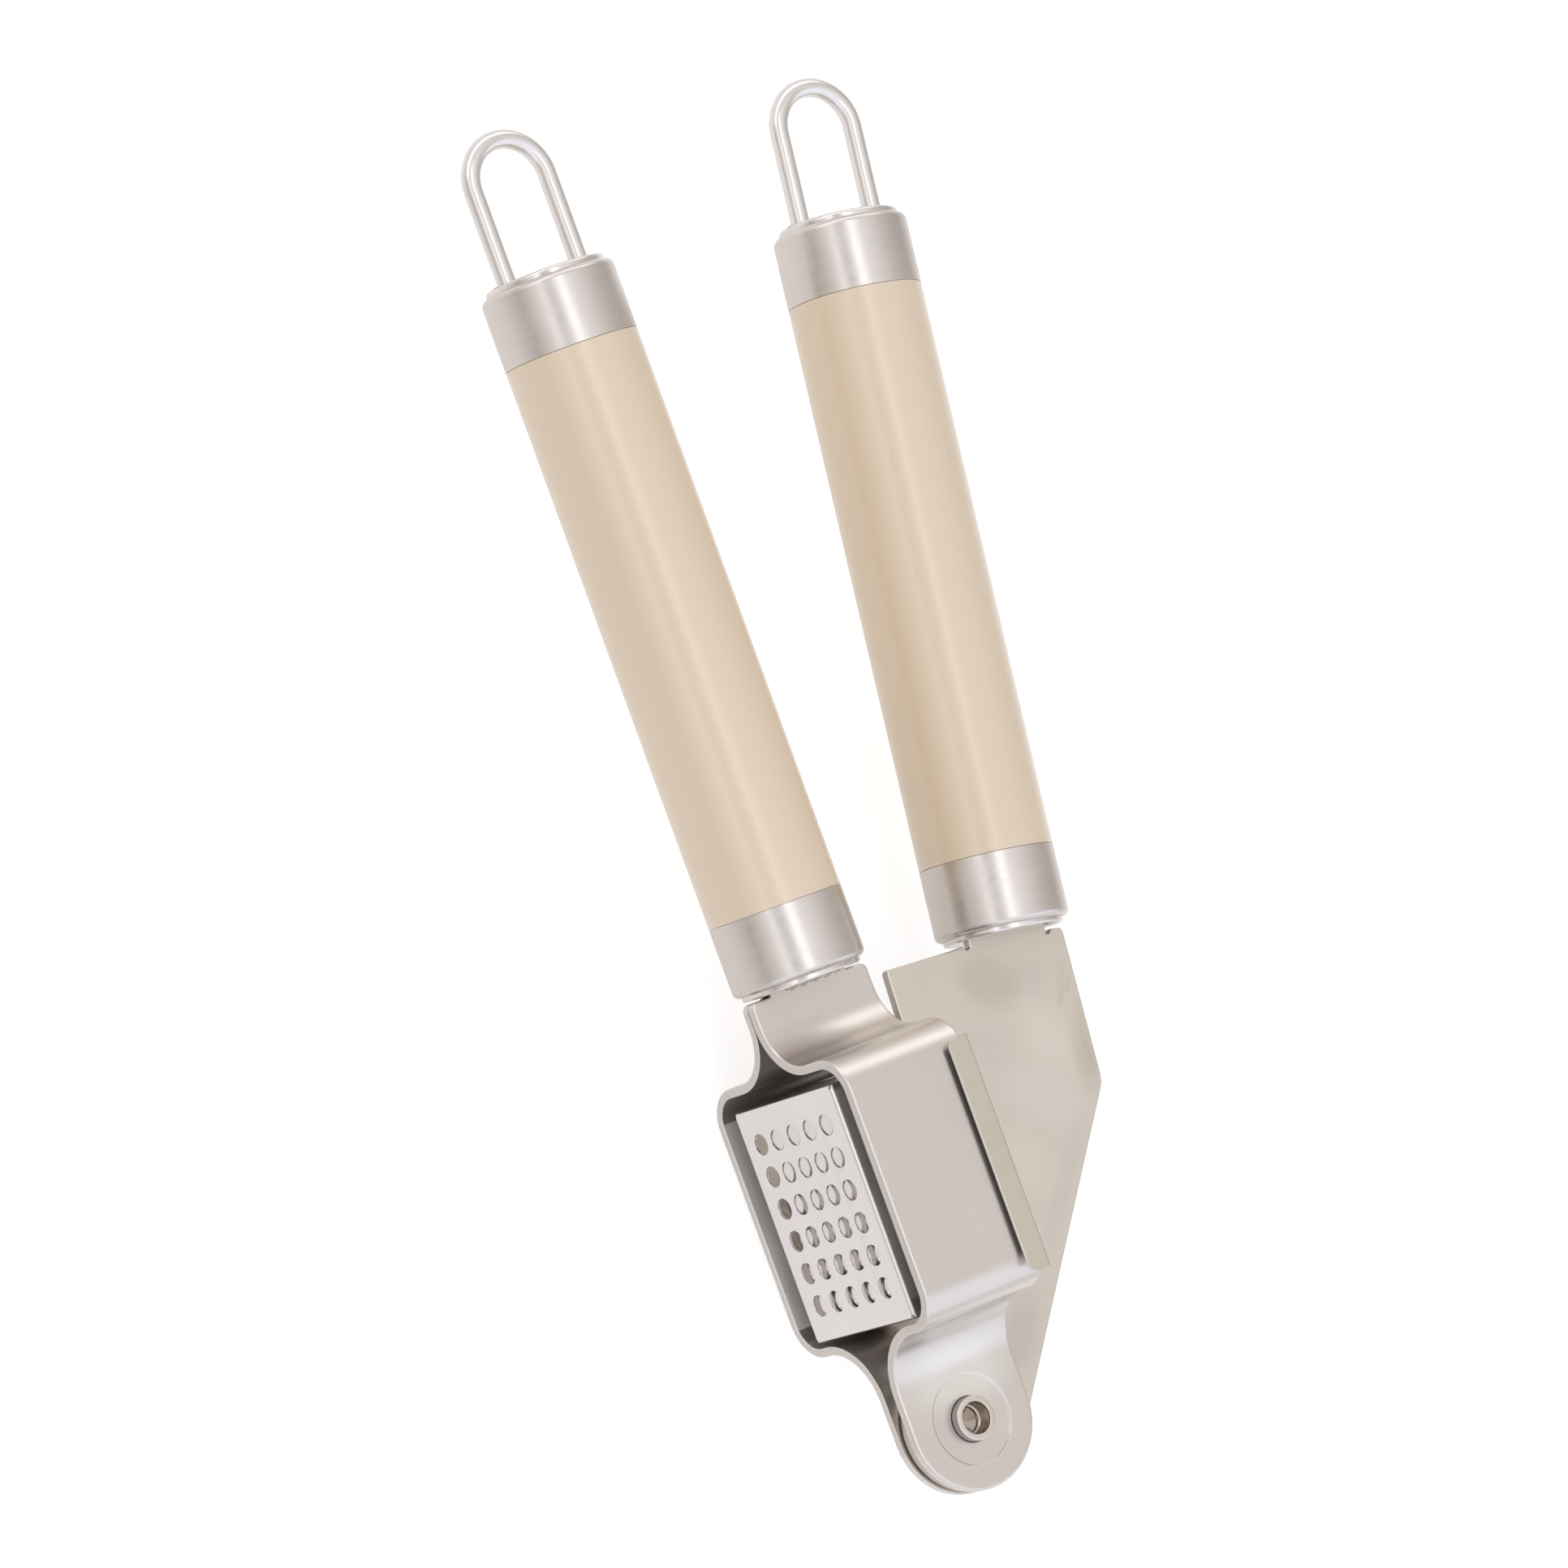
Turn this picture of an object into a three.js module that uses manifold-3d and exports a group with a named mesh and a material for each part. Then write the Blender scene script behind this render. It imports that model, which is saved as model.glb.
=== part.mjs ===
// Hand-held garlic press, built as an assembly of separate pieces.
// Units are millimetres.  The press lies on its side:
//   +X  along the lower handle, from the hanging loops towards the head pivot
//   +Y  from the perforated strainer face towards the press lever
//   +Z  up, parallel to the pivot rivet; the press is symmetric about its mid plane
// The origin is at the bottom centre of the whole press in its closed pose.
// Inside the assembly, working coordinates have X = 0 at the middle of the strainer
// holes, Y = 0 on the lower handle's axis and Z = 0 on the mid plane.

import * as THREE from 'three';
import { mergeVertices } from 'three/addons/utils/BufferGeometryUtils.js';
import Module from 'manifold-3d';

const wasm = await Module();
wasm.setup();

// ---------------------------------------------------------------- dimensions
// placing of the working coordinates in the part's frame
const OFFSET = [55.55, -24.48, 17.8];

// handles (both arms)
const HANDLE_R = 9.5;             // outer radius of sleeve and ferrules
const TUBE_BORE_R = 8.2;          // bore of sleeve and ferrules
const CORE_R = 7.9;               // steel core tube, outer radius
const CORE_BORE_R = 7.0;
const SLEEVE_LEN = 80.55;         // coloured sleeve between the ferrules
const HEAD_FERRULE_LEN = 10.15;   // ferrule next to the head
const END_FERRULE_LEN = 10.6;     // ferrule next to the hanging loop
const FERRULE_CORNER_R = 1.8;     // rolled outer corner of the ferrules
const SEAM = 0.12;                // hairline seam between sleeve and ferrules
const DISC_R = 8.5;               // closing discs of the handle ends
const DISC_T = 0.75;
const ROUND_SEGMENTS = 28;

// hanging loops: a bent wire with two parallel legs
const WIRE_R = 1.35;
const LOOP_LEG_HALF = 6.2;        // half the leg distance, centre to centre
const LOOP_REACH = 21.2;          // from the ferrule end to the outside of the bend

// lower arm
const LOWER_SLEEVE_END = -41.45;  // x of the sleeve's head end
const NECK_X = -30.25;            // shoulder of the side plates
const PLATE_T = 1.3;              // side plate sheet
const PLATE_GAP = 0.1;            // from mid plane to each plate in the neck
const STRIP_HALF = 10.05;         // half width (Y) of the side plates
const CHAMBER_X0 = -18.9;         // inner faces of the chamber
const CHAMBER_X1 = 17.35;
const CHAMBER_HALF = 15.4;        // inner half depth of the chamber (Z)
const CORNER_R = 4.0;             // inner radius of the chamber corners
const NECK_BEND_R = 8.0;          // sweep from the neck into the chamber wall
const EAR_BEND_R = 9.2;           // sweep from the chamber wall into the ears
const EAR_Z = 1.15;               // inner face of each ear
const EAR_R = 9.8;                // rounded ear end
const TANG_HALF = 6.5;            // tang of the side plates inside the ferrule
const TANG_X = -45.0;

// pivot
const PIVOT = [32.9, 0];
const COIN_R = 6.3;               // coined ring around the rivet
const COIN_DEPTH = 0.25;
const RIVET_R = 2.9;
const RIVET_HOLE_R = 3.1;

// strainer basket
const BASKET_HALF_X = 16.7;
const BASKET_HALF_Z = 12.3;
const BASKET_T = 0.4;
const BASKET_BEND_R = 0.6;        // outer radius of the bends along the bottom's long sides
const BASKET_Y0 = -9.9;           // outer face of the perforated bottom
const BASKET_FLANGE_Y = 10.25;    // underside of the flange over the plate edges
const LIP_Z = 17.4;               // inner face of the turned-down lip
const LIP_Y = 6.8;                // free edge of the lip
const LIP_CORNER_R = 1.6;
const HOLE_R = 1.5;
const HOLE_ROWS = 6, HOLE_COLS = 5;
const HOLE_PITCH_X = 4.66, HOLE_PITCH_Z = 4.12;
const NECK_WALL_Y = 4.6;          // top of the basket's end wall at the neck side
const PIVOT_WALL_Y = 0.6;         // top of the end wall at the pivot side

// press lever and upper arm
const REST_ANGLE = 8.5;           // degrees between the two handle axes
const UPPER_SLEEVE_END = [-37.59, 36.0];
const LEVER_T = 1.5;
const LEVER_EAR_R = 9.55;
const UPPER_TANG_HALF = 6.6;

// plunger
const PIN = [0, -2.9];
const PIN_R = 1.5;
const PLUNGER_TILT = -2.3;        // degrees, pivot side down
const PLUNGER_T = 1.2;

// ---------------------------------------------------------------- materials
const steel = (color, roughness) => new THREE.MeshStandardMaterial({ color, roughness, metalness: 1.0 });
const MAT = {
  plate: () => steel(0xc9c3bc, 0.32),
  lever: () => steel(0xbdb7a9, 0.38),
  strainer: () => steel(0xd8d4d0, 0.18),
  ferrule: () => steel(0xc6c1bc, 0.30),
  wire: () => steel(0xd6d3d0, 0.14),
  rivet: () => steel(0xc8c2bb, 0.25),
  sleeve: () => new THREE.MeshStandardMaterial({ color: 0xd7c3aa, roughness: 0.45, metalness: 0.0 }),
};

// ---------------------------------------------------------------- helpers
const rad = (d) => d * Math.PI / 180;

// merges vertices and drops empty triangles, so that every piece is one closed surface
function clean(geometry) {
  let g = geometry.index ? geometry.toNonIndexed() : geometry.clone();
  g.deleteAttribute('normal');
  g.deleteAttribute('uv');
  g = mergeVertices(g, 1e-4);
  const idx = g.index.array, out = [];
  for (let i = 0; i < idx.length; i += 3) {
    const [a, b, c] = [idx[i], idx[i + 1], idx[i + 2]];
    if (a !== b && b !== c && c !== a) out.push(a, b, c);
  }
  g.setIndex(out);
  return g;
}
function solid(geometry) {
  const g = clean(geometry);
  const s = new wasm.Manifold(new wasm.Mesh({
    numProp: 3,
    vertProperties: new Float32Array(g.attributes.position.array),
    triVerts: new Uint32Array(g.index.array),
  }));
  return s;
}
function geometryOf(manifold) {
  const m = manifold.getMesh();
  const g = new THREE.BufferGeometry();
  const n = m.numProp, v = m.vertProperties, pos = new Float32Array(v.length / n * 3);
  for (let i = 0; i < v.length / n; i++) for (let k = 0; k < 3; k++) pos[3 * i + k] = v[n * i + k];
  g.setAttribute('position', new THREE.BufferAttribute(pos, 3));
  g.setIndex(Array.from(m.triVerts));
  return g;
}
function mesh(name, geometry, material) {
  const g = geometry.index && !geometry.attributes.normal ? geometry : clean(geometry);
  g.computeVertexNormals();
  const m = new THREE.Mesh(g, material);
  m.name = name;
  return m;
}
const pt = (x, y) => new THREE.Vector2(x, y);
function shapeOf(points) {
  const s = new THREE.Shape();
  s.setFromPoints(points);
  return s;
}
// points of an arc, both ends included
function arc(cx, cy, r, a0, a1, steps) {
  const out = [];
  for (let i = 0; i <= steps; i++) {
    const a = rad(a0 + (a1 - a0) * i / steps);
    out.push(pt(cx + r * Math.cos(a), cy + r * Math.sin(a)));
  }
  return out;
}
// outline in XY, thickness from z0 to z1
function plateXY(shape, z0, z1, curveSegments = 12) {
  const g = new THREE.ExtrudeGeometry(shape, { depth: z1 - z0, bevelEnabled: false, curveSegments });
  g.translate(0, 0, z0);
  return g;
}
// outline in XZ (second coordinate is z), thickness from y0 to y1
function plateXZ(shape, y0, y1, curveSegments = 12) {
  const g = new THREE.ExtrudeGeometry(shape, { depth: y1 - y0, bevelEnabled: false, curveSegments });
  g.rotateX(Math.PI / 2);
  g.translate(0, y1, 0);
  return g;
}
// outline in YZ (first coordinate y, second z), from x0 to x1
function plateYZ(shape, x0, x1, curveSegments = 12) {
  const g = new THREE.ExtrudeGeometry(shape, { depth: x1 - x0, bevelEnabled: false, curveSegments });
  const m = new THREE.Matrix4().set(0, 0, 1, x0, 1, 0, 0, 0, 0, 1, 0, 0, 0, 0, 0, 1);
  g.applyMatrix4(m);
  return g;
}
function block(x0, x1, y0, y1, z0, z1) {
  const g = new THREE.BoxGeometry(x1 - x0, y1 - y0, z1 - z0);
  g.translate((x0 + x1) / 2, (y0 + y1) / 2, (z0 + z1) / 2);
  return g;
}
// upright cylinder (axis along Z)
function post(x, y, r, z0, z1, segments = 24) {
  const g = new THREE.CylinderGeometry(r, r, z1 - z0, segments);
  g.rotateX(Math.PI / 2);
  g.translate(x, y, (z0 + z1) / 2);
  return g;
}
// turned piece about the X axis; profile points are (radius, x)
function turnX(profile, segments = ROUND_SEGMENTS) {
  const pts = profile.map(([r, x]) => pt(r, x));
  const closed = profile[0][0] === 0 && profile[profile.length - 1][0] === 0;
  if (!closed) pts.push(pt(profile[0][0], profile[0][1]));
  const g = new THREE.LatheGeometry(pts, segments);
  g.rotateZ(-Math.PI / 2);
  return g;
}
// turned piece about an axis along Z; profile points are (radius, z)
function turnZ(profile, x, y, segments = 24) {
  const pts = profile.map(([r, z]) => pt(r, z));
  const closed = profile[0][0] === 0 && profile[profile.length - 1][0] === 0;
  if (!closed) pts.push(pt(profile[0][0], profile[0][1]));
  const g = new THREE.LatheGeometry(pts, segments);
  g.rotateX(Math.PI / 2);
  g.translate(x, y, 0);
  return g;
}
// makes the surface face outward whatever the winding of its profile was
function outward(geometry) {
  const g = clean(geometry);
  const p = g.attributes.position, ix = g.index.array;
  let vol = 0;
  const a = new THREE.Vector3(), b = new THREE.Vector3(), c = new THREE.Vector3();
  for (let i = 0; i < ix.length; i += 3) {
    a.fromBufferAttribute(p, ix[i]); b.fromBufferAttribute(p, ix[i + 1]); c.fromBufferAttribute(p, ix[i + 2]);
    vol += a.dot(b.cross(c));
  }
  if (vol < 0) {
    const flipped = [];
    for (let i = 0; i < ix.length; i += 3) flipped.push(ix[i], ix[i + 2], ix[i + 1]);
    g.setIndex(flipped);
  }
  return g;
}

// ---------------------------------------------------------------- handles
// A handle is built along its own x axis, with x = 0 at the head end of the sleeve.
function ferruleProfile(x0, dir, length) {
  const e = x0 + dir * length;
  const c = [HANDLE_R - FERRULE_CORNER_R, e - dir * FERRULE_CORNER_R];
  const pts = [[TUBE_BORE_R, x0], [HANDLE_R, x0]];
  const last = Math.acos((TUBE_BORE_R - c[0]) / FERRULE_CORNER_R);
  for (let i = 0; i <= 3; i++) {
    const a = last * i / 3;
    pts.push([c[0] + FERRULE_CORNER_R * Math.cos(a), c[1] + dir * FERRULE_CORNER_R * Math.sin(a)]);
  }
  return pts;
}
function discProfile(x0, dir) {
  const e = x0 + dir * DISC_T, r = 0.35;
  return [[0, x0], [DISC_R, x0], [DISC_R, e - dir * r], [DISC_R - r * 0.3, e - dir * r * 0.3], [DISC_R - r, e], [0, e]];
}
function handle(prefix, slotHalfWidth, slotHalfThickness) {
  const group = new THREE.Group();
  const head = HEAD_FERRULE_LEN, end = -SLEEVE_LEN - END_FERRULE_LEN;
  const sleeve = turnX([[TUBE_BORE_R, -SLEEVE_LEN + SEAM / 2], [HANDLE_R, -SLEEVE_LEN + SEAM / 2], [HANDLE_R, -SEAM / 2], [TUBE_BORE_R, -SEAM / 2]]);
  group.add(mesh(prefix + '_handle_sleeve', outward(sleeve), MAT.sleeve()));
  const core = turnX([[CORE_BORE_R, end + 2.4], [CORE_R, end + 2.4], [CORE_R, head - 1.2], [CORE_BORE_R, head - 1.2]]);
  group.add(mesh(prefix + '_handle_core', outward(core), MAT.ferrule()));
  group.add(mesh(prefix + '_head_ferrule', outward(turnX(ferruleProfile(SEAM / 2, 1, HEAD_FERRULE_LEN - SEAM / 2))), MAT.ferrule()));
  group.add(mesh(prefix + '_end_ferrule', outward(turnX(ferruleProfile(-SLEEVE_LEN - SEAM / 2, -1, END_FERRULE_LEN - SEAM / 2))), MAT.ferrule()));

  // closing disc at the head, slotted for the tang
  const headDisc = solid(outward(turnX(discProfile(head, 1))))
    .subtract(solid(block(head - 1, head + 2, -slotHalfWidth, slotHalfWidth, -slotHalfThickness, slotHalfThickness)));
  group.add(mesh(prefix + '_head_disc', geometryOf(headDisc), MAT.ferrule()));

  // closing disc at the far end, drilled for the two wire legs
  let endDisc = solid(outward(turnX(discProfile(end, -1))));
  for (const s of [1, -1]) {
    const drill = new THREE.CylinderGeometry(WIRE_R + 0.2, WIRE_R + 0.2, 4, 16);
    drill.rotateZ(Math.PI / 2);
    drill.translate(end, s * LOOP_LEG_HALF, 0);
    endDisc = endDisc.subtract(solid(drill));
  }
  group.add(mesh(prefix + '_end_disc', geometryOf(endDisc), MAT.ferrule()));

  // hanging loop: wire along a straight, half circle, straight path
  const bendX = end - LOOP_REACH + WIRE_R + LOOP_LEG_HALF, legX = end + 1.8;
  const path = new THREE.CurvePath();
  const v3 = (x, y) => new THREE.Vector3(x, y, 0);
  path.add(new THREE.LineCurve3(v3(legX, LOOP_LEG_HALF), v3(bendX, LOOP_LEG_HALF)));
  const bendSteps = 14;
  for (let i = 0; i < bendSteps; i++) {
    const a0 = rad(90 + 180 * i / bendSteps), a1 = rad(90 + 180 * (i + 1) / bendSteps);
    path.add(new THREE.LineCurve3(
      v3(bendX + LOOP_LEG_HALF * Math.cos(a0), LOOP_LEG_HALF * Math.sin(a0)),
      v3(bendX + LOOP_LEG_HALF * Math.cos(a1), LOOP_LEG_HALF * Math.sin(a1))));
  }
  path.add(new THREE.LineCurve3(v3(bendX, -LOOP_LEG_HALF), v3(legX, -LOOP_LEG_HALF)));
  const section = shapeOf(arc(0, 0, WIRE_R, 0, 330, 11));
  const wire = new THREE.ExtrudeGeometry(section, { steps: 30, bevelEnabled: false, extrudePath: path });
  group.add(mesh(prefix + '_hanging_loop', outward(wire), MAT.wire()));
  return group;
}

const press = new THREE.Group();
press.position.set(...OFFSET);

// ---------------------------------------------------------------- lower arm
const lowerHandle = handle('lower', TANG_HALF + 0.3, PLATE_GAP + PLATE_T + 0.25);
lowerHandle.position.set(LOWER_SLEEVE_END, 0, 0);
press.add(lowerHandle);

// Side plate: one strip of sheet, bent in the XZ plane, seen here for the upper (+Z) side.
function sidePlateProfile() {
  const T = PLATE_T, n = 7;
  const bend0 = CHAMBER_X0 - NECK_BEND_R + 0;           // centre x of the neck sweep
  const bend1 = CHAMBER_X1 + EAR_BEND_R;                // centre x of the ear sweep
  const inner = [], outer = [];
  // inner surface, from the tang to the ear
  inner.push(pt(TANG_X, PLATE_GAP));
  inner.push(...arc(bend0, PLATE_GAP + NECK_BEND_R, NECK_BEND_R, -90, 0, n));
  inner.push(...arc(CHAMBER_X0 + CORNER_R, CHAMBER_HALF - CORNER_R, CORNER_R, 180, 90, n - 1));
  inner.push(...arc(CHAMBER_X1 - CORNER_R, CHAMBER_HALF - CORNER_R, CORNER_R, 90, 0, n - 1));
  inner.push(...arc(bend1, EAR_Z + EAR_BEND_R, EAR_BEND_R, 180, 270, n));
  inner.push(pt(PIVOT[0] + EAR_R + 1, EAR_Z));
  // outer surface, from the tang to the ear
  outer.push(pt(TANG_X, PLATE_GAP + T));
  outer.push(...arc(bend0, PLATE_GAP + NECK_BEND_R, NECK_BEND_R - T, -90, 0, n));
  outer.push(...arc(CHAMBER_X0 + CORNER_R, CHAMBER_HALF - CORNER_R, CORNER_R + T, 180, 90, n - 1));
  outer.push(...arc(CHAMBER_X1 - CORNER_R, CHAMBER_HALF - CORNER_R, CORNER_R + T, 90, 0, n - 1));
  outer.push(...arc(bend1, EAR_Z + EAR_BEND_R, EAR_BEND_R - T, 180, 270, n));
  outer.push(pt(PIVOT[0] + EAR_R + 1, EAR_Z + T));
  return shapeOf([...inner, ...outer.reverse()]);
}
// outline of the strip seen along Z: tang, shoulder, rounded ear
function sidePlateOutline() {
  return shapeOf([
    pt(TANG_X, -TANG_HALF), pt(NECK_X, -TANG_HALF), pt(NECK_X, -STRIP_HALF),
    pt(PIVOT[0] - 1.5, -STRIP_HALF),
    ...arc(PIVOT[0], PIVOT[1], EAR_R, -90, 90, 18),
    pt(PIVOT[0] - 1.5, STRIP_HALF),
    pt(NECK_X, STRIP_HALF), pt(NECK_X, TANG_HALF), pt(TANG_X, TANG_HALF),
  ]);
}
function sidePlate() {
  let s = solid(plateXZ(sidePlateProfile(), -STRIP_HALF, STRIP_HALF))
    .intersect(solid(plateXY(sidePlateOutline(), -1, 20)));
  // coined ring: pressed in from outside, standing proud inside against the lever
  s = s.add(solid(post(PIVOT[0], PIVOT[1], COIN_R, EAR_Z - COIN_DEPTH, EAR_Z + 0.3, 32)));
  s = s.subtract(solid(post(PIVOT[0], PIVOT[1], COIN_R, EAR_Z + PLATE_T - COIN_DEPTH, EAR_Z + PLATE_T + 1, 32)));
  s = s.subtract(solid(post(PIVOT[0], PIVOT[1], RIVET_HOLE_R, -1, 6, 24)));
  return geometryOf(s);
}
const plateGeometry = sidePlate();
press.add(mesh('front_side_plate', plateGeometry, MAT.plate()));
const rearGeometry = plateGeometry.clone();
rearGeometry.applyMatrix4(new THREE.Matrix4().makeScale(1, 1, -1));
press.add(mesh('rear_side_plate', outward(rearGeometry), MAT.plate()));

// Rivet: low domed head at the rear, semi-tubular rim in front with a drilled cone bottom.
const earOut = EAR_Z + PLATE_T - COIN_DEPTH;
const rivetProfile = [
  [0, -earOut - 1.45], [2.0, -earOut - 1.3], [3.4, -earOut - 0.9], [4.3, -earOut - 0.35], [4.3, -earOut - 0.05],
  [RIVET_R, -earOut - 0.05], [RIVET_R, earOut + 0.05], [3.2, earOut + 0.05], [3.2, earOut + 0.8],
  [2.95, earOut + 1.05], [2.5, earOut + 1.05], [2.2, earOut + 0.8], [2.2, 1.2], [1.85, 1.0], [1.85, 0.6], [0, -1.0],
];
press.add(mesh('pivot_rivet', outward(turnZ(rivetProfile, PIVOT[0], PIVOT[1], 24)), MAT.rivet()));

// ---------------------------------------------------------------- strainer basket
// Folded sheet: perforated bottom, two side walls with flanges over the plate edges and
// turned-down lips outside them, and two low end walls.
function basket() {
  const t = BASKET_T, y0 = BASKET_Y0, y1 = BASKET_FLANGE_Y, hz = BASKET_HALF_Z, r = BASKET_BEND_R;
  const half = (s) => {
    // one side of the section in (y, z), from the middle of the bottom to the lip's fold
    const z = (v) => s * v;
    const flip = (pts) => pts.map((p) => pt(p.x, z(p.y)));
    const out = [
      ...flip([pt(y0, 0), pt(y0, hz - r)]),
      ...flip(arc(y0 + r, hz - r, r, 180, 90, 5).slice(1)),
      ...flip([pt(y1, hz)]),
      ...flip([pt(y1, LIP_Z)]),
      ...flip([pt(LIP_Y + LIP_CORNER_R, LIP_Z), pt(LIP_Y + LIP_CORNER_R, LIP_Z + t)]),
      ...flip(arc(y1 + t - 0.5, LIP_Z + t - 0.5, 0.5, 90, 0, 3)),
      ...flip([pt(y1 + t, hz - t)]),
      ...flip(arc(y0 + r, hz - r, r - t, 90, 180, 5)),
      ...flip([pt(y0 + t, 0)]),
    ];
    return shapeOf(s > 0 ? out : out.reverse());
  };
  let s = solid(plateYZ(half(1), -BASKET_HALF_X, BASKET_HALF_X))
    .add(solid(plateYZ(half(-1), -BASKET_HALF_X, BASKET_HALF_X)));
  // lips with rounded free corners
  const X = BASKET_HALF_X, c = LIP_CORNER_R;
  const lip = shapeOf([
    ...arc(-X + c, LIP_Y + c, c, 180, 270, 4), ...arc(X - c, LIP_Y + c, c, 270, 360, 4),
    pt(X, LIP_Y + c + 0.4), pt(-X, LIP_Y + c + 0.4),
  ]);
  s = s.add(solid(plateXY(lip, LIP_Z, LIP_Z + t))).add(solid(plateXY(lip, -LIP_Z - t, -LIP_Z)));
  // end walls, bent up from the bottom
  const wall = (top) => shapeOf([pt(y0 + 0.15, -hz + 0.2), pt(top, -hz + 0.2), pt(top, hz - 0.2), pt(y0 + 0.15, hz - 0.2)]);
  s = s.add(solid(plateYZ(wall(NECK_WALL_Y), -X, -X + t)));
  s = s.add(solid(plateYZ(wall(PIVOT_WALL_Y), X - t, X)));
  // round off the bottom's outer corner at both ends
  for (const e of [1, -1]) {
    const k = 0.35;
    const edge = new THREE.ExtrudeGeometry(shapeOf([pt(e * (X + 0.2), y0 - 0.2), pt(e * (X + 0.2), y0 + k), pt(e * X, y0 + k), pt(e * (X - k), y0), pt(e * (X - k), y0 - 0.2)]), { depth: 2 * hz + 1, bevelEnabled: false });
    edge.translate(0, 0, -hz - 0.5);
    s = s.subtract(solid(outward(edge)));
  }
  // the holes
  for (let i = 0; i < HOLE_ROWS; i++) for (let j = 0; j < HOLE_COLS; j++) {
    const g = new THREE.CylinderGeometry(HOLE_R, HOLE_R, 3, 12);
    g.translate((i - (HOLE_ROWS - 1) / 2) * HOLE_PITCH_X, y0, (j - (HOLE_COLS - 1) / 2) * HOLE_PITCH_Z);
    s = s.subtract(solid(g));
  }
  return geometryOf(s);
}
press.add(mesh('strainer_basket', basket(), MAT.strainer()));

// ---------------------------------------------------------------- upper arm
const C8 = Math.cos(rad(REST_ANGLE)), S8 = Math.sin(rad(REST_ANGLE));
// point at (u, v) of the upper handle's own axes
const onUpper = (u, v) => pt(UPPER_SLEEVE_END[0] + u * C8 + v * S8, UPPER_SLEEVE_END[1] - u * S8 + v * C8);

const upperHandle = handle('upper', UPPER_TANG_HALF + 0.3, LEVER_T / 2 + 0.25);
upperHandle.position.set(UPPER_SLEEVE_END[0], UPPER_SLEEVE_END[1], 0);
upperHandle.rotation.z = rad(-REST_ANGLE);
press.add(upperHandle);

// Press lever: one flat blank in the mid plane.
function leverOutline() {
  const faceU = HEAD_FERRULE_LEN + DISC_T;             // outer face of the head disc
  return [
    // stop tab beside the neck
    pt(-28.0, 13.8), pt(-27.85, 13.4), pt(-27.4, 13.2), pt(-21.0, 12.75),
    // under edge inside the chamber, down to the boss that carries the plunger pin
    pt(-12.5, 12.2), pt(-6.2, 4.0),
    ...arc(PIN[0], PIN[1], 2.9, 165, 375, 12),
    pt(6.0, 1.6), pt(11.5, 4.2), pt(19.0, 4.2), pt(22.2, 3.0),
    // round end on the rivet
    ...arc(PIVOT[0], PIVOT[1], LEVER_EAR_R, 170, 411, 26),
    // long slanted edge and top edge
    pt(-1.9, 40.3), pt(-2.9, 41.0), pt(-4.3, 41.35),
    pt(-24.2, 43.6), pt(-24.9, 43.3), pt(-25.15, 42.7),
    // tang into the handle, with a small relief at each root
    onUpper(faceU + 0.35, UPPER_TANG_HALF + 0.9), onUpper(faceU + 1.0, UPPER_TANG_HALF + 0.4), onUpper(faceU + 0.9, UPPER_TANG_HALF),
    onUpper(-4, UPPER_TANG_HALF), onUpper(-4, -UPPER_TANG_HALF),
    onUpper(faceU + 0.9, -UPPER_TANG_HALF), onUpper(faceU + 1.2, -UPPER_TANG_HALF - 0.5), onUpper(faceU + 0.6, -UPPER_TANG_HALF - 1.1),
    pt(-27.35, 24.6),
  ];
}
function lever() {
  const outline = shapeOf(leverOutline());
  const bore = new THREE.Path();
  bore.setFromPoints(arc(PIVOT[0], PIVOT[1], RIVET_HOLE_R + 0.05, 0, -345, 23));
  outline.holes.push(bore);
  const pinHole = new THREE.Path();
  pinHole.setFromPoints(arc(PIN[0], PIN[1], PIN_R + 0.25, 0, -337.5, 15));
  outline.holes.push(pinHole);
  return plateXY(outline, -LEVER_T / 2, LEVER_T / 2);
}
press.add(mesh('press_lever', outward(lever()), MAT.lever()));

// ---------------------------------------------------------------- plunger
const plunger = new THREE.Group();
plunger.position.set(PIN[0], PIN[1], 0);
plunger.rotation.z = rad(PLUNGER_TILT);
const FOOT_Y = -5.85;             // pressing face, below the pin
const footX0 = -14.7, footX1 = 13.9, footZ = 9.3, fr = 2.0;
const foot = shapeOf([
  ...arc(footX0 + fr, -footZ + fr, fr, 180, 270, 4), ...arc(footX1 - fr, -footZ + fr, fr, 270, 360, 4),
  ...arc(footX1 - fr, footZ - fr, fr, 0, 90, 4), ...arc(footX0 + fr, footZ - fr, fr, 90, 180, 4),
]);
plunger.add(mesh('plunger_plate', outward(plateXZ(foot, FOOT_Y, FOOT_Y + PLUNGER_T)), MAT.strainer()));
// clevis bracket: base on the plate, two lugs beside the lever
const seat = FOOT_Y + PLUNGER_T + 0.15, lugIn = 1.1, lugOut = 2.0;
let bracket = solid(block(-5.0, 5.0, seat, seat + 0.8, -5.5, 5.5));
for (const s of [1, -1]) {
  const lug = plateXY(shapeOf([pt(-4.2, seat + 0.3), pt(4.2, seat + 0.3), ...arc(0, 0, 2.7, 0, 180, 8)]), s > 0 ? lugIn : -lugOut, s > 0 ? lugOut : -lugIn);
  bracket = bracket.add(solid(outward(lug)));
}
bracket = bracket.subtract(solid(post(0, 0, PIN_R + 0.15, -4, 4, 16)));
plunger.add(mesh('plunger_bracket', geometryOf(bracket), MAT.strainer()));
// pin with a low head at each end
plunger.add(mesh('plunger_pin', outward(turnZ([
  [0, -2.9], [2.0, -2.9], [2.3, -2.6], [2.3, -2.15], [PIN_R, -2.15], [PIN_R, 2.15], [2.3, 2.15], [2.3, 2.6], [2.0, 2.9], [0, 2.9],
], 0, 0, 16)), MAT.rivet()));
press.add(plunger);

export default press;
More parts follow.
